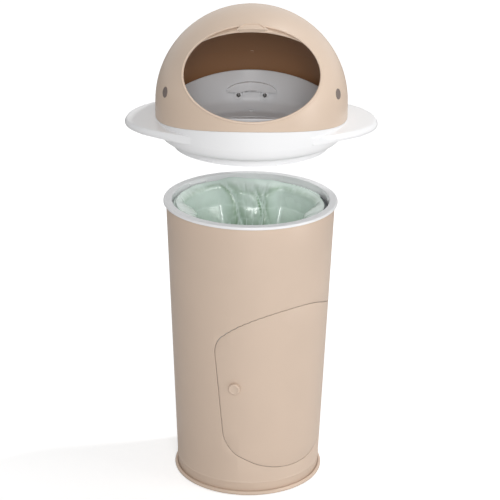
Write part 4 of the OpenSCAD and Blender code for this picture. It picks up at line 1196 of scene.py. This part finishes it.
def sliced(bm, half, step):
    """Cuts a piece across X at even steps, so that it can bend."""
    count = int(half / step)
    for k in range(-count, count + 1):
        bmesh.ops.bisect_plane(
            bm, geom=bm.verts[:] + bm.edges[:] + bm.faces[:], dist=1e-7,
            plane_co=(k * step * MM, 0, 0), plane_no=(1, 0, 0))


def finger_tab():
    """The visor's tab: a wrapped plate with a raised border that runs out at its foot."""
    half_low, half_top, half_up = 22.0, 11.5, 5.9
    bm = bmesh.new()
    corners = ((-half_low, -half_up), (half_low, -half_up), (half_top, half_up),
               (-half_top, half_up))
    verts = [bm.verts.new((x * MM, y * MM, 140.8 * MM)) for x, y in corners]
    bm.faces.new(verts)
    for v, reach in zip(verts, (1.5, 1.5, 5.0, 5.0)):
        rounded(bm, [v], reach, 6, "VERTICES")
    pulled(bm, (0, 0, 2.3 * MM))
    top = max(bm.faces, key=lambda f: (f.calc_center_median().z, f.calc_area()))
    rounded(bm, list(top.edges), 0.5, 3, "EDGES")
    top = max(bm.faces, key=lambda f: (round(f.calc_center_median().z, 6), f.calc_area()))
    bmesh.ops.inset_region(bm, faces=[top], thickness=1.2 * MM, depth=0)
    bmesh.ops.inset_region(bm, faces=[top], thickness=0.5 * MM, depth=-1.1 * MM)
    join(bm, block((36, 3.4, 7.0), (0, -2.9, 138.2)))
    sliced(bm, half_low, 2.5)
    tidy(bm)
    on_dome(bm, 62.3)
    return bm


class PAIL_OT_visor(bpy.types.Operator):
    """Makes the visor with its arms, ears and finger tab"""
    bl_idname = "pail.visor"
    bl_label = "Visor"

    def execute(self, context):
        back = VISOR_OPEN + VISOR_SPAN
        obj = visor_band(41, 139, VISOR_OPEN, VISOR_SPAN)
        obj.name = "turning_visor"
        for low, high in ((4, 42), (138, 176)):
            carve(obj, visor_band(low, high, 86.3, back - 86.3), "UNION")
        for low, high in ((1.4, 5.45), (174.55, 178.6)):
            carve(obj, visor_band(low, high, 0, 360), "UNION")
        round_edges(obj, 0.5, 3, 50)
        attach(obj, finger_tab())
        shade(obj, 32)
        place(obj, "visor", "visor_plastic", "visor", "dome_plastic")
        mark_inside(obj, DOME)
        return {"FINISHED"}


class PAIL_OT_plugs(bpy.types.Operator):
    """Makes the two stop plugs in the dome's sides"""
    bl_idname = "pail.plugs"
    bl_label = "Stop plugs"

    def execute(self, context):
        bm = bmesh.new()
        for side in (-1, 1):
            plug = turned([
                (0, 0.1), (2.2, 0.1, 0.2), (2.9, 0.55, 0.3), (6.4, 0.5, 0.5), (7.7, -0.1, 0.3),
                (7.7, -0.8), (5.0, -0.8, 0.2), (5.0, -4.0, 0.5), (0, -4.0)], 64, closed=False)
            aimed(plug, plug_line(side), DOME_R, DOME)
            join(bm, plug)
        piece(bm, "side_plugs", "lid", "plug_rubber", "stop_plugs")
        return {"FINISHED"}


def lining_height(y):
    """Height of the funnel's upper edge above the lock ring's edge, at a depth y."""
    return 55.2 + 432 - math.sqrt(432 ** 2 - y ** 2)


# Inner radius of the funnel's wall at its foot and at its upper edge
FUNNEL_MID, FUNNEL_TOP = 122.0, 128.2


class PAIL_OT_funnel(bpy.types.Operator):
    """Makes the lining that leads to the throat"""
    bl_idname = "pail.funnel"
    bl_label = "Funnel"

    def execute(self, context):
        low, high = 28.0, 60.0
        rows = 5
        inside, outside = [], []
        for k in range(1, rows):
            t = k / rows
            z = low + (high - low) * t
            inside.append((FUNNEL_MID + (FUNNEL_TOP - FUNNEL_MID) * t, z))
            outside.append((FUNNEL_MID + 1.8 + (FUNNEL_TOP - FUNNEL_MID) * t, z))
        outline = [(82.0, 14.0, 0.6), (82.0, 16.0, 0.8), (106.0, 16.0, 4.0),
                   (FUNNEL_MID, low, 5.0)]
        outline += inside
        outline += [(FUNNEL_TOP, high, 0.8), (FUNNEL_TOP + 1.8, high, 0.8)]
        outline += outside[::-1]
        outline += [(FUNNEL_MID + 1.8, low - 0.6, 3.0), (106.8, 14.2), (106.6, 12.8),
                    (104.6, 12.8), (104.6, 14.0)]
        bm = turned(outline)
        for v in bm.verts:
            z = v.co.z / MM
            if z > low + 4:
                share = (z - low - 4) / (high - low - 4)
                edge = lining_height(v.co.y / MM)
                v.co.z = (low + 4 + (edge - low - 4) * share) * MM
                reach = math.hypot(v.co.x, v.co.y) / MM
                lean = (edge - high) * (FUNNEL_TOP - FUNNEL_MID) / 56.2 * share
                scale = (reach + lean) / reach
                v.co.x *= scale
                v.co.y *= scale
        for k in range(6):
            boss = turned([(0, 13.0), (3.6, 13.0, 0.3), (3.6, 18.2), (0, 18.2)], 32,
                          closed=False)
            shift(boss, *polar(108.9, 60 * k + 30))
            join(bm, boss)
        for side in (-1, 1):
            join(bm, block((3, 7, 6.2), (side * 26, 88.5, 11.3), 0.5))
        shift(bm, z=LID_Z)
        piece(bm, "funnel_lining", "lid", "lining_plastic", "inner_funnel", sharp=30)
        return {"FINISHED"}


def arch_block(half, spring, rise, foot, name, near=90, far=140):
    """A block along +Y with an arched front, in lid heights."""
    bm = bmesh.new()
    points = [(half * math.cos(math.radians(t)), spring + rise * math.sin(math.radians(t)))
              for t in range(0, 181, 6)] + [(-half, foot), (half, foot)]
    verts = [bm.verts.new((x * MM, near * MM, z * MM)) for x, z in points]
    bm.faces.new(verts)
    pulled(bm, (0, (far - near) * MM, 0))
    tidy(bm)
    shift(bm, z=LID_Z)
    return as_object(bm, name)


# The cover's screws: place across, height above the lock ring's edge, and depth of their seat
SCREW_X, SCREW_Z, SEAT_Y = 20, 38, 120.17


def boss_block(side, radius, depth, near):
    """A round block along +Y on the axis of a cover screw."""
    bm = turned([(0, 0), (radius, 0), (radius, depth), (0, depth)], 48, closed=False)
    rolled(bm, -90, "X")
    shift(bm, side * SCREW_X, near, LID_Z + SCREW_Z)
    return as_object(bm, "boss")


def lining_band(near, far, sweep=60):
    """Shell that lies on the funnel's inner face, between two distances from it."""
    def line(d):
        return [(FUNNEL_TOP - d, 84.2), (FUNNEL_MID - d, 28.0 + d * 0.4),
                (106.0 - d * 0.4, 16.0 + d)]
    outer, inner = line(near), line(far)
    bm = turned([outer[0], (*outer[1], 5.0), outer[2], inner[2], (*inner[1], 5.0), inner[0]],
                48, sweep, 90 - sweep / 2)
    shift(bm, z=LID_Z)
    return as_object(bm, "band")


class PAIL_OT_spring_cover(bpy.types.Operator):
    """Makes the arched cover on the funnel's back wall"""
    bl_idname = "pail.spring_cover"
    bl_label = "Spring cover"

    def execute(self, context):
        obj = lining_band(0.3, 3.3)
        obj.name = "hood_cover"
        front = arch_block(37.4, 45, 12.9, 43.6, "back")
        carve(front, arch_block(14, 30, 2, 20, "tongue"), "UNION")
        carve(front, arch_block(13, 42, 3, 29, "neck"), "UNION")
        for side in (-1, 1):
            carve(front, boss_block(side, 6.4, 50, 90), "UNION")
        carve(obj, front, "INTERSECT")
        hood = lining_band(0.4, 6.0)
        carve(hood, arch_block(37.5, 45, 13, 43.5, "hood"), "INTERSECT")
        carve(obj, hood, "UNION")
        sunk = lining_band(2.0, 6)
        carve(sunk, arch_block(14.5, 41, 5, 18, "recess"), "INTERSECT")
        carve(obj, sunk)
        for side in (-1, 1):
            carve(obj, boss_block(side, 3.3, 30, SEAT_Y - 30))
        round_edges(obj, 0.7, 3, 40)
        shade(obj, 30)
        place(obj, "lid", "lining_plastic", "spring_cover")
        return {"FINISHED"}


class PAIL_OT_cover_screws(bpy.types.Operator):
    """Makes the two cross-head screws of the cover"""
    bl_idname = "pail.cover_screws"
    bl_label = "Cover screws"

    def execute(self, context):
        parts = bmesh.new()
        for side in (-1, 1):
            screw = turned([
                (0, 2.1), (1.2, 2.05), (2.2, 1.7, 0.4), (3.0, 0.9, 0.3), (3.0, 0.2, 0.2),
                (1.5, 0.2), (1.5, -5.8), (0, -5.8)], 40, closed=False)
            holder = as_object(screw, "screw")
            for width, height in ((3.0, 0.7), (0.7, 3.0)):
                bar = block((width, height, 2), (0, 0, 2.13))
                carve(holder, as_object(bar, "slit"))
            bm = taken(holder)
            rolled(bm, 90, "X")
            shift(bm, side * SCREW_X, SEAT_Y - 0.2, LID_Z + SCREW_Z)
            join(parts, bm)
        if len(parts.faces) < 100:
            raise RuntimeError("The cover screws came out empty")
        piece(parts, "hood_screws", "lid", "fastener_steel", "cover_screws", "dark_steel")
        return {"FINISHED"}


class PAIL_OT_lock_ring(bpy.types.Operator):
    """Makes the ring below the bowl with its six lugs"""
    bl_idname = "pail.lock_ring"
    bl_label = "Lock ring"

    def execute(self, context):
        bm = turned([
            (112.3, 0, 0.5), (114.3, 0, 0.8), (114.3, 10.3), (104.0, 10.3), (104.0, 7.9, 0.6),
            (112.3, 7.9, 1.0)])
        for k in range(6):
            join(bm, turned([
                (113.9, 0.9), (116.2, 0.9, 0.5), (116.2, 2.9, 0.5), (113.9, 2.9)],
                10, 14, 48 + 60 * k))
        shift(bm, z=LID_Z)
        piece(bm, "lug_ring", "lid", "white_plastic", "lock_ring")
        return {"FINISHED"}


class PAIL_OT_flap(bpy.types.Operator):
    """Makes the dished flap that closes the throat"""
    bl_idname = "pail.flap"
    bl_label = "Throat flap"

    def execute(self, context):
        bm = turned([
            (0, 14.1), (72.0, 14.1, 3.0), (76.5, 15.5, 1.5), (81.0, 15.5, 0.6),
            (81.0, 13.2, 0.6), (0, 13.2)], closed=False)
        for side in (-1, 1):
            join(bm, block((5, 20, 5), (side * 20, 78, 10.8), 0.6))
            knuckle = turned([(1.56, -2.5, 0.3), (2.6, -2.5, 0.4), (2.6, 2.5, 0.4),
                              (1.56, 2.5, 0.3)], 40)
            rolled(knuckle, 90, "Y")
            shift(knuckle, side * 20, 88, 10.8)
            join(bm, knuckle)
        shift(bm, z=LID_Z)
        piece(bm, "sprung_flap", "flap", "lining_plastic", "throat_flap")
        return {"FINISHED"}


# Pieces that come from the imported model, by their finish
CAD_FINISHES = {
    "sheet_steel": ("floor_pan", "door_frame", "door_stiffener"),
    "plated_steel": (
        "body_hinge_leaves", "body_hinge_rivets", "hinge_pins", "door_hinge_leaves",
        "door_hinge_rivets", "latch_cam", "cam_washer", "cam_screw", "base_screws",
        "dome_screws", "pivot_pins", "flap_pin", "flap_spring"),
    "bush_plastic": ("knob_bush",),
    "seal_rubber": ("seal_ring",),
}


class PAIL_OT_cad_finishes(bpy.types.Operator):
    """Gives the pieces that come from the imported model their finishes"""
    bl_idname = "pail.cad_finishes"
    bl_label = "Finishes of the plain pieces"

    def execute(self, context):
        for kind, names in CAD_FINISHES.items():
            for name in names:
                mesh = frame["nodes"][name].data
                mesh.materials.clear()
                mesh.materials.append(finish(kind))
        return {"FINISHED"}


def white_ground():
    """Matt white that shows as plain white but keeps the pail's shadow."""
    material = bpy.data.materials.new("white ground")
    material.use_nodes = True
    tree = material.node_tree
    where = add_node(tree, "TexCoord", {}).outputs["Object"]
    away = add_node(tree, "VectorMath", {0: where}, operation="LENGTH")
    amount = add_node(tree, "MapRange", {
        "From Min": 0.15, "From Max": 1.3, "To Min": 0.52, "To Max": 0.76,
        "Value": away.outputs["Value"]}, interpolation_type="SMOOTHSTEP")
    path = add_node(tree, "LightPath", {})
    glow = add_node(
        tree, "Math", {0: path.outputs["Is Camera Ray"], 1: amount.outputs["Result"]},
        operation="MULTIPLY")
    feed(tree, tree.nodes["Principled BSDF"], {
        "Base Color": (0.82, 0.82, 0.82, 1), "Roughness": 1.0, "Specular IOR Level": 0.0,
        "Emission Color": (1, 1, 1, 1), "Emission Strength": glow.outputs["Value"]})
    return material


def add_camera(stage):
    """The photograph's camera: level with the pail's axis, high in front and tilted down."""
    camera = bpy.data.cameras.new("camera")
    camera.lens = stage.lens
    camera.sensor_width = 36
    view = bpy.data.objects.new("camera", camera)
    view.rotation_mode = "QUATERNION"
    aim = Matrix.Rotation(math.pi / 2 - stage.pitch, 4, "X") @ Matrix.Rotation(
        stage.roll, 4, "Z")
    view.rotation_quaternion = aim.to_quaternion()
    view.location = (0, -stage.distance, stage.height)
    bpy.context.scene.collection.objects.link(view)
    bpy.context.scene.camera = view


def add_lamp(name, power, spot, size):
    """A rectangular lamp that is aimed at the pail's middle."""
    lamp = bpy.data.lights.new(name, "AREA")
    lamp.energy = power
    lamp.shape = "RECTANGLE"
    lamp.size = size
    lamp.size_y = size * 1.4
    light = bpy.data.objects.new(name, lamp)
    light.rotation_mode = "QUATERNION"
    light.location = spot
    aim = Vector((0, 0, 0.38)) - Vector(spot)
    light.rotation_quaternion = aim.to_track_quat("-Z", "Y")
    bpy.context.scene.collection.objects.link(light)


def surroundings(sky):
    """A world that shows as plain white, and lights matt surfaces less."""
    world = bpy.data.worlds.new("surroundings")
    world.use_nodes = True
    tree = world.node_tree
    path = add_node(tree, "LightPath", {})
    seen = path.outputs["Is Camera Ray"]
    for ray in ("Is Glossy Ray", "Is Transmission Ray"):
        either = add_node(tree, "Math", {0: seen, 1: path.outputs[ray]}, operation="MAXIMUM")
        seen = either.outputs["Value"]
    level = add_node(tree, "MapRange", {"To Min": sky, "To Max": 1.0, "Value": seen})
    feed(tree, tree.nodes["Background"], {
        "Color": (1, 1, 1, 1), "Strength": level.outputs["Result"]})
    return world


class PAIL_OT_stage(bpy.types.Operator):
    """Makes the floor, the lights, the surroundings and the camera"""
    bl_idname = "pail.stage"
    bl_label = "Stage and camera"

    def execute(self, context):
        stage = context.scene.pail_stage
        bm = bmesh.new()
        bmesh.ops.create_grid(bm, x_segments=1, y_segments=1, size=12)
        floor = as_object(bm, "floor")
        floor.data.materials.append(white_ground())
        add_camera(stage)
        add_lamp("key", stage.key, (2.4, -1.0, 0.7), 1.2)
        add_lamp("front", stage.front, (0.1, -2.6, 1.55), 0.9)
        add_lamp("top", stage.top, (1.02, 0.48, 2.68), 0.12)
        context.scene.world = surroundings(stage.sky)
        context.scene.view_settings.view_transform = "Standard"
        return {"FINISHED"}


STEPS = (
    PAIL_OT_stage, PAIL_OT_cad_finishes, PAIL_OT_wall, PAIL_OT_door, PAIL_OT_knob,
    PAIL_OT_foot, PAIL_OT_foot_ring, PAIL_OT_collar, PAIL_OT_bag_ring, PAIL_OT_bag,
    PAIL_OT_lid_base, PAIL_OT_lock_ring, PAIL_OT_funnel, PAIL_OT_flap, PAIL_OT_spring_cover,
    PAIL_OT_cover_screws, PAIL_OT_dome, PAIL_OT_visor, PAIL_OT_plugs,
)


class PAIL_PT_panel(bpy.types.Panel):
    """Lists the steps that build the pail"""
    bl_idname = "PAIL_PT_panel"
    bl_label = "Diaper pail"
    bl_space_type = "VIEW_3D"
    bl_region_type = "UI"
    bl_category = "Pail"

    def draw(self, context):
        layout = self.layout
        for holder, _ in GROUPS:
            box = layout.box()
            group = getattr(context.scene, holder)
            for name in group.bl_rna.properties.keys():
                if name not in {"rna_type", "name"}:
                    box.prop(group, name)
        for step in STEPS:
            layout.operator(step.bl_idname)


GROUPS = (
    ("pail_colours", PailColours), ("pail_shape", PailShape), ("pail_film", PailFilm),
    ("pail_stage", PailStage),
)


def register():
    for name, group in GROUPS:
        bpy.utils.register_class(group)
        setattr(bpy.types.Scene, name, PointerProperty(type=group))
    for step in STEPS:
        bpy.utils.register_class(step)
    bpy.utils.register_class(PAIL_PT_panel)


def unregister():
    bpy.utils.unregister_class(PAIL_PT_panel)
    for step in reversed(STEPS):
        bpy.utils.unregister_class(step)
    for name, group in reversed(GROUPS):
        delattr(bpy.types.Scene, name)
        bpy.utils.unregister_class(group)


def main():
    register()
    for step in STEPS:
        space, name = step.bl_idname.split(".")
        getattr(getattr(bpy.ops, space), name)()


if __name__ == "__main__":
    main()
